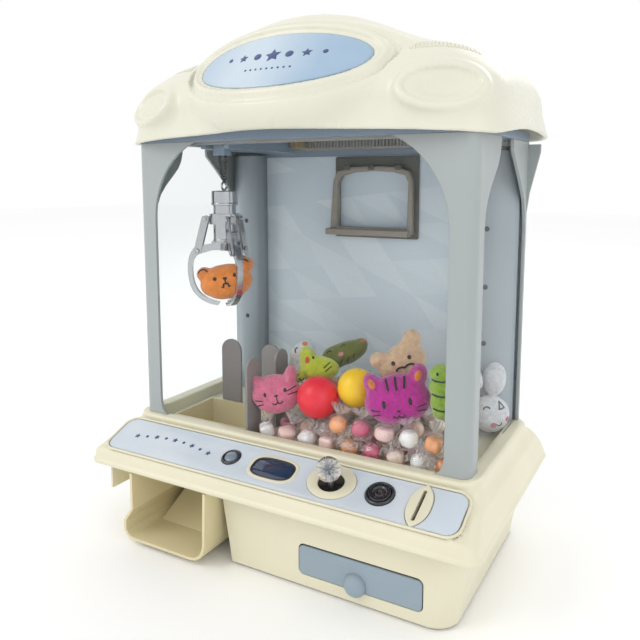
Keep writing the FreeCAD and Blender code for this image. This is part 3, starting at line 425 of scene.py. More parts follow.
class Shade:
    """Short-hand for building one material's node tree."""

    def __init__(self, name):
        self.material = bpy.data.materials.new(name)
        self.tree = nodes_of(self.material)
        self.out = self.add("ShaderNodeOutputMaterial")
        self.coord = self.add("ShaderNodeTexCoord").outputs["Object"]

    def add(self, kind, **settings):
        node = self.tree.nodes.new(kind)
        for key, value in settings.items():
            setattr(node, key, value)
        return node

    def link(self, a, b):
        self.tree.links.new(a, b)

    def principled(self, color, rough=0.4, **sockets):
        node = self.add("ShaderNodeBsdfPrincipled")
        self.put(node.inputs["Base Color"], color)
        self.put(node.inputs["Roughness"], rough)
        for key, value in sockets.items():
            node.inputs[key.replace("_", " ")].default_value = value
        self.link(node.outputs[0], self.out.inputs["Surface"])
        return node

    def put(self, socket, value):
        if isinstance(value, bpy.types.NodeSocket):
            self.link(value, socket)
        elif isinstance(value, (tuple, list)) and len(value) == 3 and len(socket.default_value) == 4:
            socket.default_value = (*value, 1.0)
        else:
            socket.default_value = value

    def noise(self, scale, detail=3.0, rough=0.5, coord=None):
        node = self.add("ShaderNodeTexNoise")
        self.link(coord or self.coord, node.inputs["Vector"])
        node.inputs["Scale"].default_value = scale
        node.inputs["Detail"].default_value = detail
        node.inputs["Roughness"].default_value = rough
        return node.outputs["Fac"]

    def span(self, value, a, b, c=0.0, d=1.0):
        node = self.add("ShaderNodeMapRange")
        self.link(value, node.inputs[0])
        for i, v in enumerate((a, b, c, d)):
            node.inputs[i + 1].default_value = v
        return node.outputs[0]

    def mix(self, fac, a, b):
        node = self.add("ShaderNodeMix", data_type="RGBA")
        self.put(node.inputs[0], fac)
        self.put(node.inputs[6], a)
        self.put(node.inputs[7], b)
        return node.outputs[2]

    def math(self, op, a, b=0.0, c=0.0):
        node = self.add("ShaderNodeMath", operation=op)
        for i, v in enumerate((a, b, c)):
            self.put(node.inputs[i], v)
        return node.outputs[0]

    def bump(self, height, strength, distance, normal=None):
        node = self.add("ShaderNodeBump")
        self.link(height, node.inputs["Height"])
        node.inputs["Strength"].default_value = strength
        node.inputs["Distance"].default_value = distance
        if normal is not None:
            self.link(normal, node.inputs["Normal"])
        return node.outputs[0]

    def blend(self, share, first, second):
        node = self.add("ShaderNodeMixShader")
        for socket, value in zip(node.inputs, (share, first.outputs[0], second.outputs[0])):
            self.put(socket, value)
        return node

    def rounded(self, radius):
        """Edge rounding of moulded parts."""
        node = self.add("ShaderNodeBevel", samples=4)
        node.inputs["Radius"].default_value = radius
        return node.outputs[0]


def plastic(name, color, rough=0.35, grain=0.12, vary=0.03, edge=0.0007, **sockets):
    """Moulded plastic: faint mottling, fine satin grain, rounded edges."""
    m = Shade(name)
    tone = m.span(m.noise(14.0, 4.0), 0.3, 0.7)
    light = tuple(min(1.0, c * (1 + vary)) for c in color)
    dark = tuple(c * (1 - vary) for c in color)
    sheen = m.span(m.noise(60.0, 2.0), 0.3, 0.7, rough - 0.04, rough + 0.05)
    node = m.principled(m.mix(tone, dark, light), sheen, **sockets)
    fine = m.noise(2600.0, 2.0)
    m.link(m.bump(fine, grain, 0.00012, m.rounded(edge) if edge else None), node.inputs["Normal"])
    return m.material


def metal(name, color, rough, brush=0.25, edge=0.0004, scale=(900.0, 900.0, 40.0)):
    """Metal with fine brushing or plating marks along one direction."""
    m = Shade(name)
    stretch = m.add("ShaderNodeMapping")
    m.link(m.coord, stretch.inputs["Vector"])
    stretch.inputs["Scale"].default_value = scale
    lines = m.noise(1.0, 3.0, coord=stretch.outputs[0])
    rough_map = m.span(lines, 0.3, 0.7, rough * 0.7, rough * 1.4)
    node = m.principled(m.mix(lines, tuple(c * 0.9 for c in color), color), rough_map, Metallic=1.0)
    m.link(m.bump(lines, brush, 0.00005, m.rounded(edge)), node.inputs["Normal"])
    return m.material


def clear_sheet(name, tint, gloss=0.9):
    """Thin clear sheet: mostly transparent, with a stronger reflection at a slant and faint haze."""
    m = Shade(name)
    glossy = m.add("ShaderNodeBsdfGlossy")
    m.put(glossy.inputs["Roughness"], 0.03)
    m.put(glossy.inputs["Color"], (gloss, gloss, gloss))
    through = m.add("ShaderNodeBsdfTransparent")
    haze = m.span(m.noise(9.0, 2.0), 0.3, 0.7)
    m.link(m.mix(haze, tuple(c * 0.985 for c in tint), tint), through.inputs["Color"])
    layer = m.add("ShaderNodeLayerWeight")
    layer.inputs["Blend"].default_value = 0.5
    fresnel = m.math("ADD", m.math("MULTIPLY", m.math("POWER", layer.outputs["Facing"], 4.0), 0.16), 0.01)
    m.link(m.blend(fresnel, through, glossy).outputs[0], m.out.inputs["Surface"])
    return m.material


def triangles(name, low, high, cell, turn=0.12):
    """Tone on tone triangles, as printed on the back sheet."""
    m = Shade(name)
    split = m.add("ShaderNodeSeparateXYZ")
    m.link(m.coord, split.inputs[0])
    x = m.math("ADD", split.outputs[0], m.math("MULTIPLY", split.outputs[2], turn))
    z = m.math("SUBTRACT", split.outputs[2], m.math("MULTIPLY", split.outputs[0], turn))
    row = m.math("DIVIDE", z, cell * 0.866)
    skew = m.math("ADD", m.math("DIVIDE", x, cell), m.math("MULTIPLY", row, 0.5))
    fx, fr = m.math("FRACT", skew), m.math("FRACT", row)
    half = m.math("GREATER_THAN", m.math("ADD", fx, fr), 1.0)
    key = m.add("ShaderNodeCombineXYZ")
    m.link(m.math("FLOOR", skew), key.inputs[0])
    m.link(m.math("FLOOR", row), key.inputs[1])
    m.link(half, key.inputs[2])
    pick = m.add("ShaderNodeTexWhiteNoise", noise_dimensions="3D")
    m.link(key.outputs[0], pick.inputs["Vector"])
    tone = m.span(pick.outputs["Value"], 0.45, 1.0)
    wash = m.span(m.noise(5.0, 2.0), 0.3, 0.7, 0.0, 0.35)
    node = m.principled(m.mix(m.math("ADD", tone, wash), low, high), 0.42)
    m.link(m.bump(m.noise(1800.0, 2.0), 0.08, 0.0001), node.inputs["Normal"])
    return m.material


CREAM = (0.72, 0.685, 0.52)
MAT = {
    "cream": plastic("cream_abs", CREAM, 0.34),
    "roof": plastic("cream_roof", (0.70, 0.69, 0.575), 0.30, edge=0),
    # Darker, more ochre copy of the cream: painted shade of the inside of the chute and scoop.
    "chute": plastic("cream_chute_painted_shade", (0.70, 0.62, 0.39), 0.38),
    "pillar": plastic("pillar_grey", (0.35, 0.385, 0.385), 0.42, edge=0.0009),
    "frame": plastic("frame_blue_grey", (0.23, 0.30, 0.38), 0.38),
    "slate": plastic("drawer_slate", (0.27, 0.34, 0.40), 0.40, edge=0.0012),
    "paddle": plastic("paddle_grey", (0.27, 0.25, 0.245), 0.42, edge=0.0009),
    "hatch": plastic("hatch_taupe", (0.29, 0.26, 0.22), 0.34, edge=0.0009),
    "shade_and_clip_dark": plastic("painted_shade_and_clip_olive", (0.10, 0.10, 0.085), 0.5, edge=0),
    # Dark olive: painted shade on the plate round the refill hatch; also used for the hatch clips.
    "dark": plastic("dark_plastic", (0.045, 0.045, 0.05), 0.30, grain=0.2),
    "gloss_black": plastic("gloss_black", (0.012, 0.012, 0.015), 0.09, grain=0.02, Coat_Weight=0.6),
    "rail": plastic("rail_grey", (0.30, 0.29, 0.27), 0.42),
    "nylon": plastic("nylon_tan", (0.36, 0.27, 0.15), 0.45),
    "rubber": plastic("rubber_black", (0.02, 0.02, 0.02), 0.75, grain=0.5),
    "board": plastic("solder_mask", (0.02, 0.15, 0.06), 0.3),
    "cell": plastic("cell_sleeve", (0.03, 0.04, 0.06), 0.25),
    "chrome": metal("chrome_plate", (0.52, 0.53, 0.55), 0.16, brush=0.2),
    "steel": metal("brushed_steel", (0.55, 0.56, 0.58), 0.28),
    "black_steel": metal("blackened_steel", (0.06, 0.06, 0.065), 0.32),
    "glass": clear_sheet("clear_sheet", (0.985, 0.992, 0.992)),
    "back": triangles("back_print", (0.60, 0.69, 0.77), (0.70, 0.78, 0.84), 0.036),
}


def fleece(name, color, rough=0.95):
    """Short pile fabric: mottled tone, soft sheen, fine nap."""
    m = Shade(name)
    tone = m.span(m.noise(260.0, 6.0, 0.75), 0.32, 0.68)
    dark = tuple(c * 0.66 for c in color)
    light = tuple(min(1.0, c * 1.06 + 0.01) for c in color)
    node = m.principled(m.mix(tone, dark, light), rough, Sheen_Weight=0.6, Sheen_Roughness=0.4)
    nap = m.bump(m.noise(1500.0, 4.0, 0.7), 0.8, 0.0009)
    m.link(m.bump(m.noise(380.0, 4.0, 0.6), 0.75, 0.0015, nap), node.inputs["Normal"])
    return m.material


def candy(name, color, rough=0.22, milky=0.25):
    """Boiled sweet: slightly see-through, with a cloudy body and a worn shine."""
    m = Shade(name)
    cloud = m.span(m.noise(160.0, 4.0), 0.3, 0.7)
    light = tuple(min(1.0, c * 1.1 + 0.04) for c in color)
    node = m.principled(m.mix(cloud, tuple(c * 0.86 for c in color), light),
                        m.span(cloud, 0, 1, rough, rough + 0.2),
                        Subsurface_Weight=milky, Subsurface_Scale=0.004, Coat_Weight=1.0,
                        Coat_Roughness=0.06)
    node.inputs["Subsurface Radius"].default_value = (1.0, 0.6, 0.4)
    m.link(m.bump(m.noise(700.0, 3.0), 0.2, 0.0004), node.inputs["Normal"])
    m.link(m.bump(m.noise(210.0, 4.0, 0.6), 0.9, 0.0016), node.inputs["Coat Normal"])
    return m.material


def film(name, tint=(0.97, 0.96, 0.96), solid=0.10):
    """Cellophane: clear, crinkled, with bright folds."""
    m = Shade(name)
    fold = m.noise(170.0, 5.0, 0.7)
    ridge = m.math("SUBTRACT", 1.0, m.math("ABSOLUTE", m.math("MULTIPLY", m.math("SUBTRACT", fold, 0.5),
                                                              9.0)))
    crease = m.math("MAXIMUM", ridge, 0.0)
    normal = m.bump(fold, 0.9, 0.0012, m.bump(m.noise(520.0, 3.0), 0.5, 0.0004))
    shine, milk = m.add("ShaderNodeBsdfGlossy"), m.add("ShaderNodeBsdfTranslucent")
    m.put(shine.inputs["Color"], tint)
    m.put(shine.inputs["Roughness"], 0.14)
    m.put(milk.inputs["Color"], tint)
    m.link(normal, shine.inputs["Normal"])
    m.link(normal, milk.inputs["Normal"])
    body = m.blend(0.45, shine, milk)
    through = m.add("ShaderNodeBsdfTransparent")
    m.put(through.inputs["Color"], (0.995, 0.99, 0.99))
    layer = m.add("ShaderNodeLayerWeight")
    layer.inputs["Blend"].default_value = 0.35
    amount = m.math("ADD", m.math("MULTIPLY", crease, 0.30), m.math("MULTIPLY", layer.outputs["Fresnel"],
                                                                    0.55))
    share = m.math("MINIMUM", m.math("ADD", amount, solid), 0.9)
    m.link(m.blend(share, through, body).outputs[0], m.out.inputs["Surface"])
    return m.material


# ---- plush prizes -------------------------------------------------------
def facing(yaw, pitch, roll):
    """Axes of a plush: right, up and out of its face, from its heading in degrees."""
    a, b, c = (math.radians(v) for v in (yaw, pitch, roll))
    out = Vector((math.sin(a) * math.cos(b), -math.cos(a) * math.cos(b), math.sin(b)))
    right = Vector((math.cos(a), math.sin(a), 0.0))
    up = out.cross(right)
    return right * math.cos(c) + up * math.sin(c), up * math.cos(c) - right * math.sin(c), out


def blob(u, v, parts, k=3.0):
    """Flat outline as a soft union of (x, y, a, b, turn) ovals."""
    f = None
    for x, y, a, b, turn in parts:
        t = math.radians(turn)
        du, dv = u - x, v - y
        g = oval(du * math.cos(t) + dv * math.sin(t), dv * math.cos(t) - du * math.sin(t), a, b)
        f = g if f is None else smin(f, g, k)
    return f


def pillow(parts, thick, soft=10.0, k=3.0):
    """Stuffed form over a flat outline, seam round its edge."""
    def f(u, v, w):
        g = blob(u, v, parts, k)
        return np.hypot(np.maximum(g + soft, 0.0), w * soft / thick) - soft
    return f


def stuff(obj, seam, cap=2.2):
    """Inflates a stuffed form with its seam held, and applies the result."""
    mesh = obj.data
    rest = np.zeros(len(mesh.vertices) * 3)
    mesh.vertices.foreach_get("co", rest)
    rest = rest.reshape(-1, 3)
    group = obj.vertex_groups.new(name="seam")
    group.add([int(i) for i in np.where(seam(rest / MM))[0]], 1.0, "REPLACE")
    cloth = obj.modifiers.new("cloth", "CLOTH")
    settings = cloth.settings
    settings.quality = 4
    settings.mass = 0.2
    settings.tension_stiffness = settings.compression_stiffness = 8.0
    settings.bending_stiffness = 0.3
    settings.use_pressure = True
    settings.uniform_pressure_force = 4.0
    settings.effector_weights.gravity = 0.0
    settings.vertex_group_mass = "seam"
    cloth.collision_settings.use_collision = False
    cloth.point_cache.frame_start, cloth.point_cache.frame_end = 1, 16
    scene = bpy.context.scene
    for number in range(1, 15):
        scene.frame_set(number)
    graph = bpy.context.evaluated_depsgraph_get()
    shape = obj.evaluated_get(graph).to_mesh()
    after = np.zeros(len(shape.vertices) * 3)
    shape.vertices.foreach_get("co", after)
    move = after.reshape(-1, 3) - rest
    obj.evaluated_get(graph).to_mesh_clear()
    size = np.linalg.norm(move, axis=1, keepdims=True)
    move *= np.minimum(1.0, cap * MM / np.maximum(size, 1e-9))
    obj.modifiers.remove(cloth)
    obj.vertex_groups.remove(group)
    mesh.vertices.foreach_set("co", (rest + move).ravel())
    mesh.update()
    scene.frame_set(1)
    return obj


def wrinkle(obj, amount, scale, seed):
    """Small uneven dents, as stuffing leaves."""
    shift = Vector((seed * 7.3, seed * 3.1, seed * 5.7))
    for vert in obj.data.vertices:
        value = noise.fractal(vert.co / MM * scale + shift, 1.0, 2.0, 3)
        vert.co += vert.normal * (value * amount * MM)
    obj.data.update()


def settle(obj, centre, axes):
    """Moves a form from its own axes into the frame, in its mesh."""
    right, up, out = axes
    turn = Matrix((right, up, out)).transposed().to_4x4()
    obj.data.transform(Matrix.Translation(Vector(centre) * MM) @ turn)
    obj.data.update()


def thread(tree, path, axes, centre, radius, lift=0.0):
    """Round line stitched on the face; the path is in the face's own (right, up)."""
    right, up, out = axes
    origin = Vector(centre)
    pts = []
    for u, v in path:
        start = (origin + right * u + up * v + out * 60.0) * MM
        hit = tree.ray_cast(start, -out)
        if hit[0] is not None:
            pts.append(hit[0] / MM + out * lift)
    return sweep(pts, radius) if len(pts) > 1 else None


def sweep(pts, radius, sides=6):
    """Tube along points, closed at both ends."""
    ring_pts = []
    radii = radius if isinstance(radius, (list, tuple)) else [radius] * len(pts)
    side = None
    for i, p in enumerate(pts):
        along = (pts[min(i + 1, len(pts) - 1)] - pts[max(i - 1, 0)]).normalized()
        side = (along.orthogonal().normalized() if side is None
                else (side - along * side.dot(along)).normalized())
        other = along.cross(side)
        for k in range(sides):
            t = 2 * PI * k / sides
            ring_pts.append(tuple(p + (side * math.cos(t) + other * math.sin(t)) * radii[i]))
    last = len(pts) - 1
    return ring_pts, bands(range(last), sides) + caps(last, sides)


def patch(tree, outline, axes, centre, lift, rings=4):
    """Filled spot that follows the surface, from an outline in the face's axes."""
    right, up, out = axes
    origin = Vector(centre)
    cu = sum(u for u, v in outline) / len(outline)
    cv = sum(v for u, v in outline) / len(outline)
    pts = []
    n = len(outline)
    for r in range(rings + 1):
        s = r / rings
        for u, v in outline:
            x, y = cu + (u - cu) * s, cv + (v - cv) * s
            hit = tree.ray_cast((origin + right * x + up * y + out * 60.0) * MM, -out)
            if hit[0] is None:
                return None
            pts.append(tuple(hit[0] / MM + out * (lift if r < rings else -0.3)))
    return pts, [[a, d, c, b] for a, b, c, d in bands(range(rings), n)]


def ring_of(x, y, a, b, turn=0.0, n=14):
    t0 = math.radians(turn)
    pts = []
    for k in range(n):
        t = 2 * PI * k / n
        p, q = a * math.cos(t), b * math.sin(t)
        pts.append((x + p * math.cos(t0) - q * math.sin(t0), y + p * math.sin(t0) + q * math.cos(t0)))
    return pts


def arc_of(x, y, r, start, end, n=9, squash=1.0):
    pts = []
    for k in range(n):
        t = math.radians(start + (end - start) * k / (n - 1))
        pts.append((x + r * math.cos(t), y + r * squash * math.sin(t)))
    return pts


def line_of(*points, steps=7):
    pts = []
    for (x0, y0), (x1, y1) in zip(points, points[1:]):
        pts += [(x0 + (x1 - x0) * i / steps, y0 + (y1 - y0) * i / steps) for i in range(steps + 1)]
    return pts


# Each plush: centre, heading (yaw, pitch, roll), thickness, outline ovals (x, y, a, b, turn), colour,
# threads (radius, path), spots (colour, outline, lift).
INK = (0.03, 0.02, 0.03)
PLUSHES = {
    "plush_cat_pink": dict(
        at=(-22, -32, 123), turn=(22, 12, 16), thick=9.5, color=(0.83, 0.19, 0.33), soft=11,
        parts=[(0, -1, 19.5, 14.5, 0), (-4, 3, 17, 13, 0), (-13.5, 11.5, 5.2, 7.5, 20),
               (13.5, 11.5, 5.2, 8.5, -20)],
        threads=[(0.55, arc_of(-1.9, -5.2, 2.2, 200, 350)), (0.55, arc_of(2.3, -5.2, 2.2, 190, 340)),
                 (0.5, line_of((0.2, -1.2), (0.2, -5.2))), (0.5, line_of((9.5, 0.6), (17.0, 2.8))),
                 (0.5, line_of((9.5, -2.2), (17.0, -1.8))), (0.5, line_of((-11.5, -2.6), (-17.6, -1.0))),
                 (0.5, line_of((-11.5, -5.2), (-17.2, -5.6)))],
        spots=[(INK, ring_of(-8.4, 1.8, 1.3, 2.1), 0.35), (INK, ring_of(8.2, 1.8, 1.5, 1.9), 0.35),
               (INK, ring_of(0.2, -0.9, 1.8, 1.0), 0.35)]),
    "plush_chick_white": dict(
        at=(-26, 14, 142), turn=(24, 18, 76), thick=8.5, color=(0.86, 0.85, 0.84), soft=10,
        parts=[(0, 0, 14.5, 11.0, 0), (-9, -1, 9, 10.5, 0)],
        threads=[(0.6, arc_of(4.2, 4.8, 2.4, 20, 160)), (0.6, arc_of(4.2, -4.6, 2.4, 20, 160))],
        spots=[((0.85, 0.25, 0.05), ring_of(11.6, 0.8, 2.2, 2.8), 0.5),
               ((0.85, 0.25, 0.05), ring_of(2.0, 0.2, 1.6, 2.4), 0.9)]),
    "plush_bird_lime": dict(
        at=(-2, -4, 141), turn=(26, 20, 14), thick=9.0, color=(0.60, 0.70, 0.03), soft=9,
        parts=[(2, -2, 16.5, 10.5, -12), (-5, 8.5, 7.2, 8.6, 12), (-5.5, 14.5, 3.2, 4.2, 10),
               (-16, -5, 5.5, 4.0, 20)],
        threads=[(0.5, arc_of(-13.8, -6.2, 1.8, 180, 350)), (0.5, line_of((6, -3), (12, 0.5))),
                 (0.5, line_of((6.5, -6), (12.5, -3)))],
        spots=[((0.72, 0.12, 0.05), ring_of(-5.8, 6.4, 2.2, 3.2, -8), 0.45),
               (INK, ring_of(-0.6, 7.4, 1.1, 1.5), 0.4),
               ((0.72, 0.12, 0.05), ring_of(-15.5, -3.2, 1.4, 1.0), 0.4)]),
    "plush_frog_olive": dict(
        at=(12, 20, 149), turn=(26, 22, 22), thick=8.5, color=(0.16, 0.19, 0.025), soft=9,
        parts=[(0, 0, 19.5, 9.8, 0), (-11, -0.5, 9.0, 9.4, 0), (14.5, 2.0, 6.5, 5.0, 12)],
        threads=[(0.55, arc_of(-12.2, 3.2, 2.4, 20, 160)), (0.55, arc_of(0.5, 3.8, 2.4, 20, 160)),
                 (0.45, line_of((-3, -4.5), (-7, -7.5))), (0.45,
                                                           line_of((2, -4.8),
                                                                   (-1,
                                                                    -8))), (0.45,
                                                                            line_of((7, -4.2),
                                                                                (4.5, -7.2)))],
        spots=[((0.76, 0.30, 0.32), ring_of(-3.8, -0.6, 2.6, 2.0), 0.4),
               ((0.65, 0.14, 0.03), ring_of(17.6, 3.4, 2.6, 1.7, 12), 0.4)]),
    "plush_bear_beige": dict(
        at=(74, -6, 157), turn=(26, 14, 22), thick=9.5, color=(0.80, 0.54, 0.34), soft=10,
        parts=[(0, -2, 19.0, 12.8, 0), (-16.0, 6.5, 6.8, 6.6, 0), (13.5, 12.5, 7.4, 7.2, 0),
               (4, 4, 13, 9, 12)],
        threads=[(0.9, arc_of(-3.4, -6.4, 3.7, 20, 165, squash=0.6)),
                 (0.9, arc_of(3.8, -6.4, 3.7, 15, 160, squash=0.6))],
        spots=[(INK, ring_of(-7.0, 0.6, 1.7, 1.9), 0.45), (INK, ring_of(6.0, 0.6, 1.7, 1.9), 0.45)]),
    "plush_cat_magenta": dict(
        at=(82, -33, 138), turn=(22, 10, 9), thick=11.5, color=(0.58, 0.012, 0.33), soft=12,
        parts=[(0, -3, 24.0, 17.0, 0), (-16.5, 10.0, 6.0, 9.0, 22), (17.0, 12.5, 6.4, 9.6, -22),
               (0, 5, 19, 11, 0)],
        threads=[(0.95, line_of((-6.2, 13.6), (-5.0, 5.6))), (0.95, line_of((0.6, 14.2), (0.6, 5.2))),
                 (0.95, line_of((7.4, 13.8), (6.2, 6.0))), (0.5, line_of((-13, -8.4), (-19.5, -6.8))),
                 (0.5, line_of((-13, -10.6), (-19.0, -11.4))), (0.5, line_of((13.5, -8.2), (20.5, -6.4))),
                 (0.5, line_of((13.5, -10.6), (20.0, -11.2))), (0.6,
                                                                arc_of(-1.8, -12.0, 2.0, 190,
                                                                       350)), (0.6,
                                                                               arc_of(2.2, -12.0, 2.0,
                                                                                   190, 350))],
        spots=[(INK, ring_of(-9.6, -3.6, 1.5, 3.3), 0.45), (INK, ring_of(9.2, -3.4, 1.5, 3.3), 0.45),
               (INK, ring_of(0.2, -9.4, 1.7, 1.1), 0.4), ((0.80, 0.24, 0.02),
                                                          ring_of(-16.6, 11.4, 2.6, 4.2, 22), 0.45),
               ((0.80, 0.24, 0.02), ring_of(17.2, 13.6, 2.8, 4.4, -22), 0.45)]),
    "plush_grub_green": dict(
        at=(117, -31, 146), turn=(16, 8, 4), thick=10.5, color=(0.36, 0.58, 0.04), soft=9,
        parts=[(0, 13, 10.0, 7.0, 0), (0, 3, 10.6, 7.4, 0), (0, -7, 10.2, 7.4, 0), (0, -14, 9.0, 6.0, 0)],
        threads=[(0.7, arc_of(0, 12.0, 9.4, 215, 325, squash=0.45)),
                 (0.7, arc_of(0, 2.0, 9.8, 215, 325, squash=0.45)),
                 (0.7, arc_of(0, -8.0, 9.2, 215, 325, squash=0.45))],
        spots=[(INK, ring_of(-3.6, 13.6, 1.0, 1.4), 0.4), (INK, ring_of(3.6, 13.6, 1.0, 1.4), 0.4),
               ((0.05, 0.32, 0.06), ring_of(0, 7.9, 7.2, 0.8), 0.4), ((0.05, 0.32, 0.06),
                                                                      ring_of(0, -2.4, 7.4, 0.8), 0.4)]),
    "plush_rabbit_white": dict(
        at=(124, 56, 121), turn=(38, 6, 12), thick=12.0, color=(0.80, 0.82, 0.86), soft=12, k=2.0,
        parts=[(-1, -16, 15.0, 15.0, 0), (-9, 20, 6.8, 14.0, 12), (8.5, 11, 9.0, 13.5, -22)],
        threads=[(0.6, line_of((2.5, -11), (5.2, -5.5), (7.9, -11), (2.5, -11))),
                 (0.6, arc_of(-6.6, -9.5, 2.6, 20, 160)),
                 (0.55, arc_of(0.4, -21.5, 2.2, 190, 350))],
        spots=[((0.62, 0.16, 0.26), ring_of(-4.4, -22.4, 2.8, 2.6), 0.4),
               ((0.62, 0.16, 0.26), ring_of(8.8, -21.0, 2.4, 2.6), 0.4)]),
    "plush_bear_orange": dict(
        at=(-76, -27, 211.5), turn=(26, 8, 10), thick=10.0, color=(0.90, 0.27,
                                                                   0.03), soft=10, body="finger_1",
        parts=[(0, -2.5, 22.0, 13.8, 0), (-17.2, 7.2, 6.4, 6.0, 0), (18.4, 9.6, 6.8, 6.4, 0),
               (0, 2.4, 18.4, 10.4, 0)],
        threads=[(0.7, line_of((1.2, 0.2), (1.2, -3.6))), (0.7,
                                                           line_of((-0.8, -6.2), (-0.8, -3.6), (3.2, -3.6),
                                                                   (3.2, -6.2))),
                 (0.7, line_of((-0.8, -6.2), (-2.6, -6.2))), (0.7, line_of((3.2, -6.2), (4.8, -6.0))),
                 (0.7, arc_of(-16.9, 7.0, 4.0, 20, 160)), (0.7, arc_of(18.1, 9.4, 4.2, 20, 160))],
        spots=[(INK, ring_of(-7.2, 1.6, 1.9, 1.9), 0.35), (INK, ring_of(9.6, 2.4, 1.7, 1.9), 0.35),
               (INK, ring_of(1.2, 0.8, 2.2, 1.3), 0.4)]),
}


def make_plush(name, spec, seed):
    f = pillow(spec["parts"], spec["thick"], spec["soft"], spec.get("k", 3.0))
    reach = 1.0 + max(max(abs(x) + max(a, b), abs(y) + max(a, b)) for x, y, a, b, turn in spec["parts"])
    deep = spec["thick"] + 3.0
    obj = surface(name, f, (-reach, -reach, -deep), (reach, reach, deep), 1.5)

    def seam(p):
        return (np.abs(p[:, 2]) < 0.9) & (blob(p[:, 0], p[:, 1], spec["parts"], spec.get("k", 3.0)) > -1.6)

    stuff(obj, seam)
    wrinkle(obj, 0.5, 0.09, seed)
    axes = facing(*spec["turn"])
    settle(obj, spec["at"], axes)
    sub = obj.modifiers.new("sub", "SUBSURF")
    sub.levels = sub.render_levels = 1
    fabric = fleece(name + "_fleece", spec["color"])
    body = spec.get("body", "cabinet")
    node = "prize_bear_orange" if body != "cabinet" else "prize_plushes"
    place(obj, body, fabric, (node,))
    tree = BVHTree.FromPolygons([v.co[:] for v in obj.data.vertices],
                                [p.vertices[:] for p in obj.data.polygons])
    lines = [thread(tree, path, axes, spec["at"], radius) for radius, path in spec["threads"]]
    lines = [part for part in lines if part]
    if lines:
        place(join(name + "_stitches", lines), body, MAT["thread"])
    by_color = {}
    for color, outline, lift in spec["spots"]:
        spot = patch(tree, outline, axes, spec["at"], lift)
        if spot:
            by_color.setdefault(color, []).append(spot)
    for i, (color, spots) in enumerate(by_color.items()):
        ink = MAT["thread"] if color == INK else fleece("%s_spot_%d" % (name, i), color)
        place(join("%s_spots_%d" % (name, i), spots), body, ink)


# ---- balls and sweets ---------------------------------------------------
BALLS = {"ball_red": ((15, -31, 125.5), 16.6, (0.86, 0.012, 0.035)),
         "ball_yellow": ((44.5, -22.5, 135.5), 15.0, (0.95, 0.60, 0.008))}


def make_ball(name, centre, radius, color):
    """Hollow moulded ball with a fine parting line and a plug."""
    turn = Matrix.Rotation(math.radians(38), 3, "X") @ Matrix.Rotation(math.radians(24), 3, "Y")
    rings, sides = 60, 96
    pts = []
    for i in range(rings + 1):
        a = PI * i / rings - PI / 2
        r = radius - 0.18 * math.exp(-(a / 0.02) ** 2)
        r -= 0.25 * math.exp(-((PI / 2 - a) / 0.16 - 1.0) ** 2 / 0.02)
        for k in range(sides):
            t = 2 * PI * k / sides
            p = turn @ Vector((r * math.cos(a) * math.cos(t), r * math.cos(a) * math.sin(t),
                               r * math.sin(a)))
            pts.append(tuple(p + Vector(centre)))
    return mesh_piece(name, pts, bands(range(rings), sides))


SWEET_COLORS = {
    "white": (0.90, 0.86, 0.85), "blush": (0.88, 0.62, 0.58), "orange": (0.90, 0.38, 0.15),
    "cherry": (0.62, 0.10, 0.20), "peach": (0.90, 0.66, 0.54), "lemon": (0.90, 0.80, 0.60),
}


def lump(centre, radius, kind, seed):
    """One sweet: round, cushion-shaped or a worn block, as (points, faces)."""
    draw = random.Random(seed)
    turn = Matrix.Rotation(draw.uniform(0, 6.28), 3, "Z") @ Matrix.Rotation(draw.uniform(-0.6, 0.6), 3, "X")
    power = {"round": 2.0, "cushion": 3.2, "block": 5.5}[kind]
    scale = {"round": (1, 1, 0.97), "cushion": (1.05, 0.95, 0.8), "block": (1.0, 0.85, 0.8)}[kind]
    rings, sides = 22, 32
    pts = []
    for i in range(rings + 1):
        a = PI * i / rings - PI / 2
        for k in range(sides):
            t = 2 * PI * k / sides
            d = Vector((math.cos(a) * math.cos(t), math.cos(a) * math.sin(t), math.sin(a)))
            norm = (abs(d.x) ** power + abs(d.y) ** power + abs(d.z) ** power) ** (1 / power)
            bump = 1.0 + 0.035 * noise.noise(d * 3.0 + Vector((seed, 0, 0)))
            p = d * (radius * bump / norm)
            p = turn @ Vector((p.x * scale[0], p.y * scale[1], p.z * scale[2]))
            pts.append(tuple(p + Vector(centre)))
    return pts, bands(range(rings), sides)


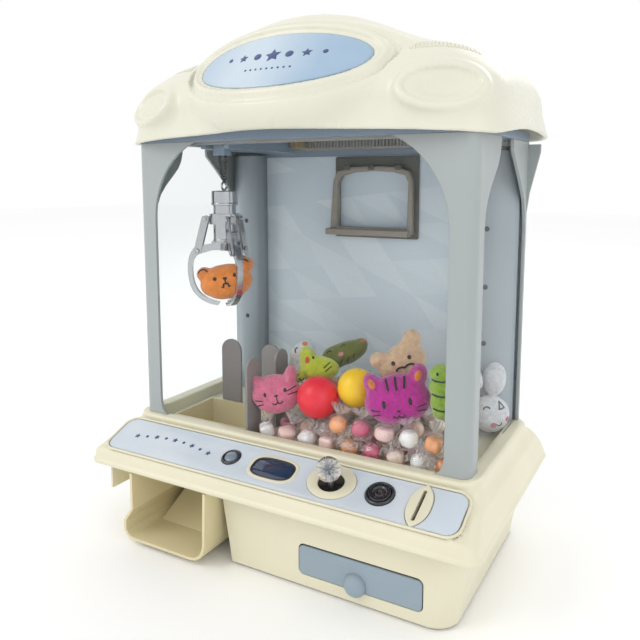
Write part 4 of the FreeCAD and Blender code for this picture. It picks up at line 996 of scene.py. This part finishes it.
def wrapper(centre, radius, seed):
    """Crumpled film at both ends of a sweet, pinched and fanned; the bag round its middle is not drawn."""
    draw = random.Random(seed)
    turn = (Matrix.Rotation(draw.uniform(0, 6.28), 3, "Z") @ Matrix.Rotation(draw.uniform(-0.7, 0.7), 3,
                                                                             "Y")).to_3x3()
    shift = Vector((seed * 1.7, seed * 0.9, seed * 2.3))
    stations = [(-2.15, 1.0), (-1.95, 0.86), (-1.7, 0.62), (-1.45, 0.36), (-1.28, 0.2), (-1.18, 0.26),
                (-1.02, 0.6), (-0.8, 0.86),
                (-0.5, 1.04), (-0.2, 1.12), (0.1, 1.13), (0.4, 1.07), (0.72,
                                                                       0.92), (0.98,
                                                                               0.64), (1.16, 0.3),
                                                                               (1.27, 0.2),
                (1.45, 0.38), (1.7, 0.66), (1.95, 0.88), (2.15, 1.02)]
    sides = 40
    pts = []
    for z, r in stations:
        fan = max(0.0, abs(z) - 1.25)
        for k in range(sides):
            t = 2 * PI * k / sides
            d = Vector((math.cos(t), math.sin(t), z))
            pleat = 1.0 + (0.05 + 0.34 * min(1.0,
                                             fan * 1.6)) * math.cos(9 * t + seed) * (1 if z > 0 else -1)
            fold = noise.noise(d * 2.3 + shift) * 0.22 + noise.noise(d * 5.5 + shift) * 0.09
            rr = radius * (r * pleat * (1.0 + fold) + 0.02)
            flat = 1.0 - 0.55 * min(1.0, fan * 1.5)
            p = Vector((rr * math.cos(t), rr * math.sin(t) * flat, radius * z * (1.0 + 0.1 * fold)))
            pts.append(tuple(turn @ p + Vector(centre)))
    fans = [i for i in range(len(stations) - 1) if abs(stations[i][0] + stations[i + 1][0]) > 1.5]
    return pts, bands(fans, sides)


def sweet_plan():
    """Places of the sweets: centre, radius, kind, colour."""
    draw = random.Random(11)
    kinds, colors = ["round", "cushion", "block"], list(SWEET_COLORS)
    plan = []
    front = [("block", "white"), ("cushion", "blush"), ("cushion", "white"), ("block", "blush"),
             ("round", "orange"), ("round", "cherry"),
             ("cushion", "peach"), ("round", "white"), ("cushion", "orange")]
    for i, (kind, color) in enumerate(front):
        plan.append(((-27 + i * 18.6, -40.0, FLOOR_Z + 8.6), 8.0, kind, color))
    second = [("round", "orange"), ("round", "cherry"), ("cushion", "blush"), ("round", "white"),
              ("cushion", "orange")]
    for i, (kind, color) in enumerate(second):
        plan.append(((38 + i * 19.0, -41.0, FLOOR_Z + 24.8), 7.8, kind, color))
    for row, y in enumerate((-22.5, -4.5, 13.5, 31.5, 49.5)):
        for i in range(7):
            x = -18 + i * 18.4 + (9 if row % 2 else 0)
            if x >= 105:
                continue
            for level, z in enumerate((8.6, 25.0)):
                if level and row == 0 and x <= 60:
                    continue
                spot = (x + draw.uniform(-1, 1), y + draw.uniform(-1, 1), FLOOR_Z + z)
                plan.append((spot, 7.8, draw.choice(kinds), draw.choice(colors)))
    return plan


# ---- chains -------------------------------------------------------------
def chain_link(centre, along, across, half_long=1.55, half_wide=1.0, wire=0.42):
    """Oval wire link lying along and across."""
    pts = []
    turns, sides = 14, 6
    normal = along.cross(across)
    for i in range(turns):
        t = 2 * PI * i / turns
        mid = along * (half_long * math.cos(t)) + across * (half_wide * math.sin(t))
        out = (along * (half_wide * math.cos(t)) + across * (half_long * math.sin(t))).normalized()
        for k in range(sides):
            a = 2 * PI * k / sides
            pts.append(tuple(centre + mid + out * (wire * math.cos(a)) + normal * (wire * math.sin(a))))
    return pts, bands(range(turns), sides, turns)


def chain(name, points):
    """Links at an even pitch along straight runs, each turned a quarter from the last."""
    pieces = []
    pitch = 2.25
    carry, count = 0.0, 0
    for a, b in zip(points, points[1:]):
        a, b = Vector(a), Vector(b)
        along = (b - a).normalized()
        side = along.orthogonal().normalized()
        other = along.cross(side)
        length = (b - a).length
        while carry <= length:
            across = side if count % 2 else other
            pieces.append(chain_link(a + along * carry, along, across))
            carry += pitch
            count += 1
        carry -= length
    return join(name, pieces)


# ---- lathe and small hardware -------------------------------------------
def lathe(profile, centre, axis, sides=48):
    """(radius, height) profile turned about an axis, closed at its ends."""
    axis = Vector(axis).normalized()
    u = axis.orthogonal().normalized()
    v = axis.cross(u)
    pts = []
    for r, h in profile:
        for k in range(sides):
            t = 2 * PI * k / sides
            pts.append(tuple(Vector(centre) + axis * h + (u * math.cos(t) + v * math.sin(t)) * max(r,
                0.01)))
    last = len(profile) - 1
    return pts, bands(range(last), sides) + caps(last, sides)


def panel_normal():
    return Vector((0.0, -math.sin(PANEL_TILT), math.cos(PANEL_TILT)))


def panel_point(x, v, w):
    return tuple(float(c) for c in to_panel(x, v, w))


# ---- star and dot motifs ------------------------------------------------
def star(cx, cy, r, turn=0.0, points=5, waist=0.5):
    out = []
    for k in range(points * 2):
        t = math.radians(turn) + PI * k / points + PI / 2
        rr = r if k % 2 == 0 else r * waist
        out.append((cx + rr * math.cos(t), cy + rr * math.sin(t)))
    return out


def raised(outline, to_world, lift):
    """Thin raised shape with a bevelled edge, on any surface that to_world gives."""
    n = len(outline)
    cx, cy = sum(p[0] for p in outline) / n, sum(p[1] for p in outline) / n
    pts = []
    for scale, up in ((1.0, -0.15), (1.0, lift * 0.6), (0.94, lift), (0.0, lift)):
        for x, y in outline:
            pts.append(to_world(cx + (x - cx) * scale, cy + (y - cy) * scale, up))
    return pts, bands(range(3), n) + [list(range(n))[::-1]]


def sign_motifs():
    """Row of stars and dots across the sign, with a smaller row below it."""
    shapes = []
    for i, r in enumerate((3.0, 3.9, 4.9, 6.4, 4.9, 3.9, 3.0)):
        x = (i - 3) * 13.2
        shapes.append(star(x, 4.6, r, turn=8 * (i % 2)) if i % 2 else ring_of(x, 4.6, r * 0.62, r * 0.62,
                                                                              n=24))
    for i in range(9):
        shapes.append(ring_of((i - 4) * 4.6, -8.6, 0.85, 0.85, n=14))
    return join("sign_motifs", [raised(s, sign_point_lift, 0.28) for s in shapes])


def sign_point_lift(x, v, up):
    return sign_point(x, v, up - 0.35)


def panel_motifs():
    """Curved run of little stars and dots on the left of the control panel."""
    shapes = []
    for i in range(9):
        x = -128.0 + i * 9.2
        v = -1.0 + 4.6 * math.sin(PI * i / 8)
        shapes.append(star(x, v, 2.5, turn=i * 17) if i % 2 == 0 else ring_of(x, v, 1.25, 1.25, n=18))
    return join("panel_motifs", [raised(s, lambda x, v, up: panel_point(x, v, 0.55 + up),
                                        0.2) for s in shapes])


# ---- controls -----------------------------------------------------------
def knob_ball():
    """Clear ball with a moulded starburst inside."""
    c = Vector(panel_point(CONTROLS["joystick"], CONTROL_V, 12.4))
    n = panel_normal()
    shell = lathe([(8.8 * math.sin(PI * i / 28), -8.8 * math.cos(PI * i / 28)) for i in range(29)], c, n,
                  64)
    burst = []
    for ring_i, (lat, count) in enumerate(((0.35, 9), (0.95, 9), (-0.3, 9))):
        for k in range(count):
            t = 2 * PI * (k + 0.5 * ring_i) / count
            u = n.orthogonal().normalized()
            v = n.cross(u)
            d = (u * math.cos(t) + v * math.sin(t)) * math.cos(lat) + n * math.sin(lat)
            burst.append(sweep([c + d * 1.2, c + d * 3.6, c + d * 6.6], [0.75, 0.5, 0.12], 5))
    return shell, burst


# ---- claw dressing ------------------------------------------------------
def claw_points(r, tangent, z, angle):
    a = math.radians(angle)
    return Vector((CLAW[0] + r * math.cos(a) - tangent * math.sin(a),
                   CLAW[1] + r * math.sin(a) + tangent * math.cos(a), z))


def claw_rivets(angle, spots, half):
    """Rivet heads on both cheeks of a claw joint."""
    a = math.radians(angle)
    t = Vector((-math.sin(a), math.cos(a), 0.0))
    made = []
    for r, z, size in spots:
        for side in (-1, 1):
            base = claw_points(r, side * half, z, angle)
            made.append(lathe([(size, 0.0), (size, 0.35), (size * 0.8, 0.7), (size * 0.4, 0.85)], base,
                              t * side, 16))
    return made


# ---- assemble -----------------------------------------------------------
MAT["thread"] = plastic("thread_black", (0.012, 0.010, 0.014), 0.6, grain=0.4, edge=0)
MAT["burst"] = plastic("knob_burst", (0.62, 0.64, 0.68), 0.08, grain=0.02, edge=0)


def glass_like(name, color, rough=0.02, ior=1.46):
    """Clear moulded acrylic with faint flow marks."""
    m = Shade(name)
    flow = m.noise(90.0, 2.0)
    node = m.principled(m.mix(flow, tuple(c * 0.96 for c in color), color),
                        m.span(flow, 0.3, 0.7, rough, rough + 0.03),
                        Transmission_Weight=1.0, IOR=ior)
    m.link(m.bump(flow, 0.05, 0.0003), node.inputs["Normal"])
    return m.material


def overlay_print():
    """Pale blue printed film with soft cloudy tones."""
    m = Shade("overlay_print")
    cloud = m.span(m.noise(16.0, 3.0), 0.32, 0.68)
    node = m.principled(m.mix(cloud, (0.53, 0.60, 0.67), (0.62, 0.67, 0.72)), 0.33, Coat_Weight=0.15)
    m.link(m.bump(m.noise(1500.0, 2.0), 0.06, 0.0001), node.inputs["Normal"])
    return m.material


def sign_print():
    """Blue print under a glossy face, with a painted highlight that lightens it towards the middle."""
    m = Shade("sign_print")
    split = m.add("ShaderNodeSeparateXYZ")
    m.link(m.coord, split.inputs[0])
    across = m.math("ABSOLUTE", m.math("ADD", split.outputs[0], 0.018))
    # Painted highlight: lighter towards the middle of the sign, a little left of centre.
    painted_highlight = m.span(across, 0.0, 0.055, 1.0, 0.0)
    drift = m.math("MULTIPLY", m.noise(30.0, 3.0), 0.35)
    node = m.principled(m.mix(m.math("ADD", painted_highlight, drift), (0.26, 0.39, 0.54), (0.50, 0.60, 0.69)), 0.12,
                        Coat_Weight=0.5)
    m.link(m.bump(m.noise(1500.0, 2.0), 0.03, 0.0001), node.inputs["Normal"])
    return m.material


MAT["overlay"] = overlay_print()
MAT["sign"] = sign_print()
MAT["ink_blue"] = plastic("ink_blue", (0.05, 0.075, 0.20), 0.3, edge=0)
MAT["crystal"] = glass_like("crystal", (0.98, 0.98, 0.99))
MAT["smoke"] = plastic("smoke_cap", (0.16, 0.20, 0.26), 0.12, grain=0.03, Coat_Weight=0.8)
MAT["lcd"] = plastic("lcd_face", (0.012, 0.028, 0.075), 0.10, grain=0.02, Coat_Weight=0.9)
MAT["film"] = film("cellophane")
MAT["frame_light"] = plastic("post_grey", (0.30, 0.35, 0.39), 0.4)

# Look of each design node, by look.
LOOK_NODES = {
    "cream": "base_tub base_plate coin_plate coin_guide joystick_plate battery_door deck",
    "paddle": "base_vents chute_guards battery_box",
    "gloss_black": "power_switch control_rings catch_button",
    "rubber": "rubber_feet prize_plushes prize_balls prize_sweets prize_bear_orange",
    "overlay": "control_overlay",
    "chute": "chute_liner prize_scoop",
    "slate": "coin_drawer",
    "lcd": "lcd_window",
    "smoke": "start_button",
    "chrome": (
        "joystick_collar claw_hanger claw_core claw_collar claw_link_1 claw_link_2 "
        "claw_link_3 claw_finger_1 claw_finger_2 claw_finger_3"
    ),
    "steel": "joystick_shaft screws",
    "dark": "joystick_yoke joystick_frame speaker",
    "board": "main_board",
    "cell": "batteries",
    "pillar": "pillars_front pillars_rear",
    "frame": "top_frame back_panel ceiling_plate bridge trolley",
    "glass": "windows",
    "back": "back_sheet refill_door",
    "hatch": "refill_frame",
    "rail": "gantry_rails",
    "nylon": "bridge_pinion trolley_pinion hoist_drum",
    "crystal": "joystick_ball",
    "roof": "roof_shell",
    "sign": "sign_panel",
    "black_steel": "lift_chains",
}
CAD_LOOKS = {node: look for look, nodes in LOOK_NODES.items() for node in nodes.split()}


def dress_cad():
    for name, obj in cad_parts.items():
        obj.data.materials.clear()
        obj.data.materials.append(MAT[CAD_LOOKS[name]])


def build_roof():
    roof = surface("roof_skin", roof_shape, (-160, -106, 318), (160, 104, 422), 1.5)
    place(roof, "cabinet", MAT["roof"], ("roof_shell",))
    face = sign_plate("sign_face", 71.2, 26.2, -1.55, -0.35)
    place(face, "cabinet", MAT["sign"], ("sign_panel",))
    place(sign_motifs(), "cabinet", MAT["ink_blue"])
    for side, name in ((-1, "roof_grille_left"), (1, "roof_grille_right")):
        place(roof_grille(name, side), "cabinet", MAT["roof"])


def build_deck():
    deck = surface("deck_skin", deck_shape, (-168, -105, 58), (168, 105, 99), 1.3)
    place(deck, "cabinet", MAT["cream"], ("deck",))
    place(panel_motifs(), "cabinet", MAT["ink_blue"])


def build_prizes():
    for seed, (name, spec) in enumerate(PLUSHES.items()):
        make_plush(name, spec, seed)
    for name, (centre, radius, color) in BALLS.items():
        shine = plastic(name + "_pvc", color, 0.3, grain=0.05, edge=0, Subsurface_Weight=0.1,
                        Subsurface_Scale=0.004)
        place(make_ball(name, centre, radius, color), "cabinet", shine, ("prize_balls",))
    groups = {}
    wraps = []
    for i, (centre, radius, kind, color) in enumerate(sweet_plan()):
        groups.setdefault(color, []).append(lump(centre, radius * (0.82 if kind != "round" else 0.9), kind,
                                                 i))
        wraps.append(wrapper(centre, radius * 0.92, i))
    for color, parts in groups.items():
        place(join("sweets_" + color, parts), "cabinet",
              candy("candy_" + color, SWEET_COLORS[color]), ("prize_sweets",))
    place(join("sweet_wraps", wraps), "cabinet", MAT["film"])


def build_claw():
    for i, dx in enumerate(CHAIN_X):
        tip = math.copysign(0.9, dx)
        top, bend, low = (CLAW[0] + dx, CLAW[1], 343.0), (CLAW[0] + dx, CLAW[1],
                                                          306.0), (CLAW[0] + tip, CLAW[1], 293.5)
        piece = chain("lift_chain_%d" % (i + 1), [top, bend, low])
        place(piece, "claw_head", MAT["black_steel"], ("lift_chains",))
    for i, angle in enumerate(FINGER_ANGLES):
        rivets = claw_rivets(angle, ((LUG_R, LUG_Z, 1.7),), 5.6)
        place(join("collar_rivets_%d" % (i + 1), rivets), "claw_collar", MAT["steel"])
        rivets = claw_rivets(angle, ((KNEE_R, KNEE_Z, 1.7),), 5.2)
        place(join("knee_rivets_%d" % (i + 1), rivets), "finger_%d" % (i + 1), MAT["steel"])
    centre = (CLAW[0], CLAW[1], 0.0)
    hoops = [lathe([(9.5, 244.0), (9.9, 244.3), (9.9, 245.6), (9.5, 245.9)], centre, (0, 0, 1)),
             lathe([(10.7, 273.6), (11.0, 273.9), (11.0, 275.4), (10.7, 275.7)], centre, (0, 0, 1)),
             lathe([(10.7, 283.4), (10.5, 284.6), (9.6, 285.3), (4.0, 285.5)], centre, (0, 0, 1))]
    place(join("claw_bands", hoops), "claw_head", MAT["chrome"])


def cut_plate(outline, holes, low, high, bevel, to_world):
    """Flat plate with holes and rounded edges, as welded (points, faces)."""
    curve = bpy.data.curves.new("plate", "CURVE")
    curve.dimensions, curve.fill_mode = "2D", "BOTH"
    curve.extrude, curve.bevel_depth, curve.bevel_resolution = (high - low) / 2 - bevel, bevel, 2
    curve.offset = -bevel
    for loop in [outline] + list(holes):
        spline = curve.splines.new("POLY")
        spline.points.add(len(loop) - 1)
        for point, (x, y) in zip(spline.points, loop):
            point.co = (x, y, 0.0, 1.0)
        spline.use_cyclic_u = True
    obj = bpy.data.objects.new("plate", curve)
    bpy.context.scene.collection.objects.link(obj)
    mesh = bpy.data.meshes.new_from_object(obj)
    index, pts, faces = {}, [], []
    number = []
    for vertex in mesh.vertices:
        key = tuple(round(c, 3) for c in vertex.co)
        if key not in index:
            index[key] = len(pts)
            pts.append(to_world(vertex.co.x, vertex.co.y, vertex.co.z + (low + high) / 2))
        number.append(index[key])
    for face in mesh.polygons:
        loop = [number[k] for k in face.vertices]
        if len(set(loop)) == len(loop):
            faces.append(loop)
    bpy.data.objects.remove(obj)
    bpy.data.meshes.remove(mesh)
    bpy.data.curves.remove(curve)
    return pts, faces


def flat_point(x, y, z):
    return (x, y, z)


def oval_loop(x, v, a, b, n=64, power=2.0):
    pts = []
    for k in range(n):
        c, s = math.cos(2 * PI * k / n), math.sin(2 * PI * k / n)
        pts.append((x + a * math.copysign(abs(c) ** (2 / power), c),
                    v + b * math.copysign(abs(s) ** (2 / power), s)))
    return pts


def lens_loop(x, v, half_wide, half_long, n=40):
    """Pointed oval, standing up the slope."""
    side = [(half_wide * (1 - abs(t) ** 2.5) ** 0.85, half_long * t) for t in np.linspace(-1, 1, n)]
    return [(x + a, v + b) for a, b in side] + [(x - a, v + b) for a, b in side[-2:0:-1]]


def rect_loop(x0, y0, x1, y1, r, n=10):
    pts = []
    for cx, cy, start in ((x1 - r, y1 - r, 0), (x0 + r, y1 - r, 90), (x0 + r, y0 + r, 180),
                          (x1 - r, y0 + r, 270)):
        for k in range(n + 1):
            t = math.radians(start + 90 * k / n)
            pts.append((cx + r * math.cos(t), cy + r * math.sin(t)))
    return pts


def on_slope(name, profile):
    return lathe(profile, panel_point(CONTROLS[name], CONTROL_V, 0.0), panel_normal())


def lcd_oval(a, b):
    """Outline about the display, which sits a little low on the slope."""
    return oval_loop(CONTROLS["lcd"], CONTROL_V - 1.4, a, b, power=3.0)


def build_controls():
    shell, burst = knob_ball()
    place(join("joystick_knob", [shell]), "joystick", MAT["crystal"], ("joystick_ball",))
    place(join("joystick_burst", burst), "joystick", MAT["burst"])
    v, coin_x, coin_v = CONTROL_V, CONTROLS["coin"], -1.0
    holes = [oval_loop(CONTROLS["start"], v, 8.0, 8.0), lcd_oval(20.0, 11.4),
             oval_loop(CONTROLS["joystick"], v, 18.6, 15.8), oval_loop(CONTROLS["catch"], v, 10.6, 10.6),
             lens_loop(coin_x, coin_v, 8.6, 18.6)]
    sheet = cut_plate(rect_loop(-148.7, -18.0, 148.7, 16.6, 8.6), holes, -0.3, 0.45, 0.1, panel_point)
    place(join("panel_overlay", [sheet]), "cabinet", MAT["overlay"], ("control_overlay",))
    start_ring = on_slope("start", [(5.6, -3.0), (5.6, 0.7), (6.0, 1.3), (6.8, 1.5), (7.5, 1.1), (7.8, 0.3),
                                    (7.8, -1.0)])
    catch_ring = on_slope("catch", [(8.1, -3.0), (8.1, 1.4), (8.6, 2.1), (9.3, 2.1), (10.0, 1.4),
                                    (10.3, 0.4), (10.3, -1.0)])
    rim = cut_plate(lcd_oval(18.0, 9.7), [lcd_oval(16.6, 8.3)],
                    -1.0, 0.9, 0.3, panel_point)
    place(join("button_rings", [start_ring, catch_ring, rim]), "cabinet",
          MAT["gloss_black"], ("control_rings",))
    margin = cut_plate(lcd_oval(20.4, 11.8), [lcd_oval(17.9, 9.6)],
                       -1.0, 0.75, 0.3, panel_point)
    place(join("lcd_margin", [margin]), "cabinet", MAT["cream"])
    face = cut_plate(lcd_oval(16.8, 8.5), [], -1.2, 0.3, 0.2, panel_point)
    place(join("lcd_face", [face]), "cabinet", MAT["lcd"], ("lcd_window",))
    cap = on_slope("start", [(0.0, 2.3), (3.2, 2.2), (4.6, 1.8), (5.2, 1.1), (5.3, 0.0), (5.3, -3.5)])
    place(join("start_cap", [cap]), "start_button", MAT["smoke"], ("start_button",))
    cap = on_slope("catch", [(0.0, 1.7), (1.5, 1.6), (2.0, 2.0), (2.6, 2.0), (3.1, 1.5), (4.4, 1.6),
                             (5.1, 2.3), (5.9, 2.4),
                             (6.4, 2.2), (7.2, 2.7), (7.7, 2.4), (7.9, 1.4), (7.9, -3.5)])
    place(join("catch_cap", [cap]), "catch_button", MAT["gloss_black"], ("catch_button",))
    x = CONTROLS["joystick"]
    plate = cut_plate(oval_loop(x, v, 18.3, 15.5), [oval_loop(x, v - 0.6, 9.8, 8.8)], -0.6, 1.3, 0.5,
                      panel_point)
    place(join("stick_plate", [plate]), "cabinet", MAT["cream"], ("joystick_plate",))
    well = on_slope("joystick", [(9.9, 0.2), (9.3, 0.1), (8.8, -1.5), (7.4, -4.0), (5.8, -5.6), (5.4, -6.6),
                                 (6.6, -7.6), (9.9, -7.6)])
    place(join("stick_well", [well]), "cabinet", MAT["gloss_black"])
    collar = on_slope("joystick", [(5.2, -4.6), (5.0, -3.4), (5.6, -2.7), (6.6, -2.7), (7.2, -3.4),
                                   (7.0, -4.6)])
    place(join("stick_collar", [collar]), "cabinet", MAT["chrome"], ("joystick_collar",))
    slot = rect_loop(coin_x - 1.15, coin_v - 13.2, coin_x + 1.15, coin_v + 13.2, 1.1)
    plate = cut_plate(lens_loop(coin_x, coin_v, 8.0, 17.9), [slot], -0.6, 1.9, 0.7, panel_point)
    place(join("coin_face", [plate]), "cabinet", MAT["cream"], ("coin_plate",))


def build_drawer():
    """Drawer front, its tray and a round knob low on the front."""
    def upright(x, z, out):
        return (x, -80.4 - out, z)
    front = cut_plate(rect_loop(28.4, 11.2, 122.6, 32.8, 3.4), [], 0.0, 2.4, 0.6, upright)
    walls = cut_plate(rect_loop(30.7, -80.8, 120.3, -12.2, 2.0),
                      [rect_loop(32.3, -79.0, 118.7, -13.8, 1.2)], 12.0, 30.0, 0.3,
                      flat_point)
    floor = cut_plate(rect_loop(31.2, -80.3, 119.8, -12.7, 1.5), [], 12.0, 13.6, 0.3, flat_point)
    profile = [(8.3, -0.6), (8.3, 0.8), (7.9, 2.2), (6.9, 3.8), (5.0, 5.2), (2.6, 6.0), (0.0, 6.2)]
    knob = lathe(profile, (73.8, -82.8, 15.6), (0, -1, 0))
    place(join("drawer_front", [front, walls, floor, knob]), "coin_drawer", MAT["slate"],
          ("coin_drawer",))


def build_back():
    """Corner posts, screw holes, and the frame round the refill hatch."""
    posts, dots = [], []
    for side in (-1, 1):
        plan = [(139.8, 78.9), (139.8, 73.0), (122.0, 61.5), (107.0, 61.5), (105.0, 63.5), (105.0, 78.9)]
        plan = [(side * x, y) for x, y in plan]
        posts.append(cut_plate(plan, [], 86.1, 317.5, 0.8, flat_point))
        for z in (161.4, 208.0, 255.1):
            dots.append(lathe([(0.0, 0.35), (1.9, 0.3), (2.2, -0.2)], (side * 118.0, 61.4, z), (0, -1, 0),
                              24))
    place(join("corner_posts", posts), "cabinet", MAT["frame_light"])
    place(join("corner_screws", dots), "cabinet", MAT["black_steel"])

    def upright(x, z, out):
        return (x, 79.2 - out, z)
    door = [(-23.5, 252.0), (44.5, 252.0), (45.0, 292.0), (42.0, 298.0), (30.0, 301.2), (10.5, 302.2),
            (-8.0, 301.2), (-20.0, 298.0), (-23.5, 292.0)]
    frame_out = [(-31.5, 250.0), (-29.0, 245.5), (46.0, 244.5), (49.5, 248.0), (49.0, 294.0), (46.0, 302.0),
                 (32.0, 305.6), (10.5, 306.8),
                 (-10.0, 305.6), (-24.0, 302.0), (-28.0, 294.0)]
    # Dark plate round the door opening: painted shade of the dark gap round the hatch, behind the back
    # sheet.
    shade = cut_plate(rect_loop(-28.5, 242.5, 53.0, 315.0, 1.5), [door], 0.0, 1.2, 0.3, upright)
    place(join("hatch_shade", [shade]), "cabinet", MAT["shade_and_clip_dark"])
    sheet = cut_plate(rect_loop(-137.8, 96.2, 137.8, 315.8, 2.0), [door], -1.25, -0.8, 0.1, upright)
    place(join("back_print_sheet", [sheet]), "cabinet", MAT["back"], ("back_sheet",))
    rim = cut_plate(frame_out, [door], 0.6, 7.0, 1.1, upright)
    sill = cut_plate(rect_loop(-33.0, 244.8, 47.5, 250.4, 1.2), [], 5.0, 13.5, 0.9, upright)
    clips = [cut_plate(rect_loop(x - 3.0, 303.0, x + 3.0, 307.4, 0.8), [], 4.0, 8.0, 0.5,
                       upright) for x in (-14.0, 10.0, 36.0)]
    place(join("hatch_rim", [rim, sill]), "cabinet", MAT["hatch"], ("refill_frame",))
    place(join("hatch_clips", clips), "cabinet", MAT["shade_and_clip_dark"])


dress_cad()
build_roof()
build_deck()
build_prizes()
build_claw()
build_controls()
build_drawer()
build_back()


# ---- floor, light, camera ----------------------------------------------
def build_floor():
    """Pale, flat studio floor."""
    m = Shade("floor_paint")
    tone = m.span(m.noise(1.2, 2.0), 0.3, 0.7)
    m.principled(m.mix(tone, (0.965, 0.965, 0.965), (0.98, 0.98, 0.98)), 0.7)
    n = 24
    pts, faces = [], []
    for j in range(n + 1):
        for i in range(n + 1):
            x, y = -6000 + 12000 * i / n, -6000 + 12000 * j / n
            pts.append((x, y, 0.0))
    for j in range(n):
        for i in range(n):
            a = j * (n + 1) + i
            faces.append([a, a + 1, a + n + 2, a + n + 1])
    floor = mesh_piece("studio_floor", pts, faces)
    floor.data.materials.append(m.material)


def area_light(name, at, target, size, power, tint=(1, 1, 1)):
    light = bpy.data.lights.new(name, "AREA")
    light.size, light.energy, light.color = size, power, tint
    obj = bpy.data.objects.new(name, light)
    obj.location = at
    obj.rotation_euler = (Vector(target) - Vector(at)).to_track_quat("-Z", "Y").to_euler()
    bpy.context.scene.collection.objects.link(obj)


def build_studio():
    world = bpy.data.worlds.new("studio")
    world.use_nodes = True
    sky = world.node_tree.nodes["Background"]
    sky.inputs["Color"].default_value = (1.0, 1.0, 1.0, 1.0)
    sky.inputs["Strength"].default_value = 1.0
    bpy.context.scene.world = world
    middle = (0.0, 0.0, 0.2)
    area_light("key", (-1.3, -1.6, 1.7), middle, 1.2, 13.0, (1.0, 0.99, 0.96))
    area_light("fill", (1.7, -1.0, 0.9), middle, 1.2, 4.0, (0.96, 0.98, 1.0))
    area_light("rim", (0.4, 1.7, 1.5), middle, 1.0, 6.0)


def build_camera():
    data = bpy.data.cameras.new("camera")
    data.lens, data.sensor_width = 37.98, 36.0
    data.shift_x, data.shift_y = 0.0, -0.086
    data.clip_start, data.clip_end = 0.02, 30.0
    camera = bpy.data.objects.new("camera", data)
    camera.location = (0.26776, -0.4747, 0.2931)
    camera.rotation_euler = (math.radians(90.0 - 7.07), 0.0, math.radians(29.51))
    bpy.context.scene.collection.objects.link(camera)
    bpy.context.scene.camera = camera


build_floor()
build_studio()
build_camera()
bpy.context.scene.view_settings.view_transform = "Standard"
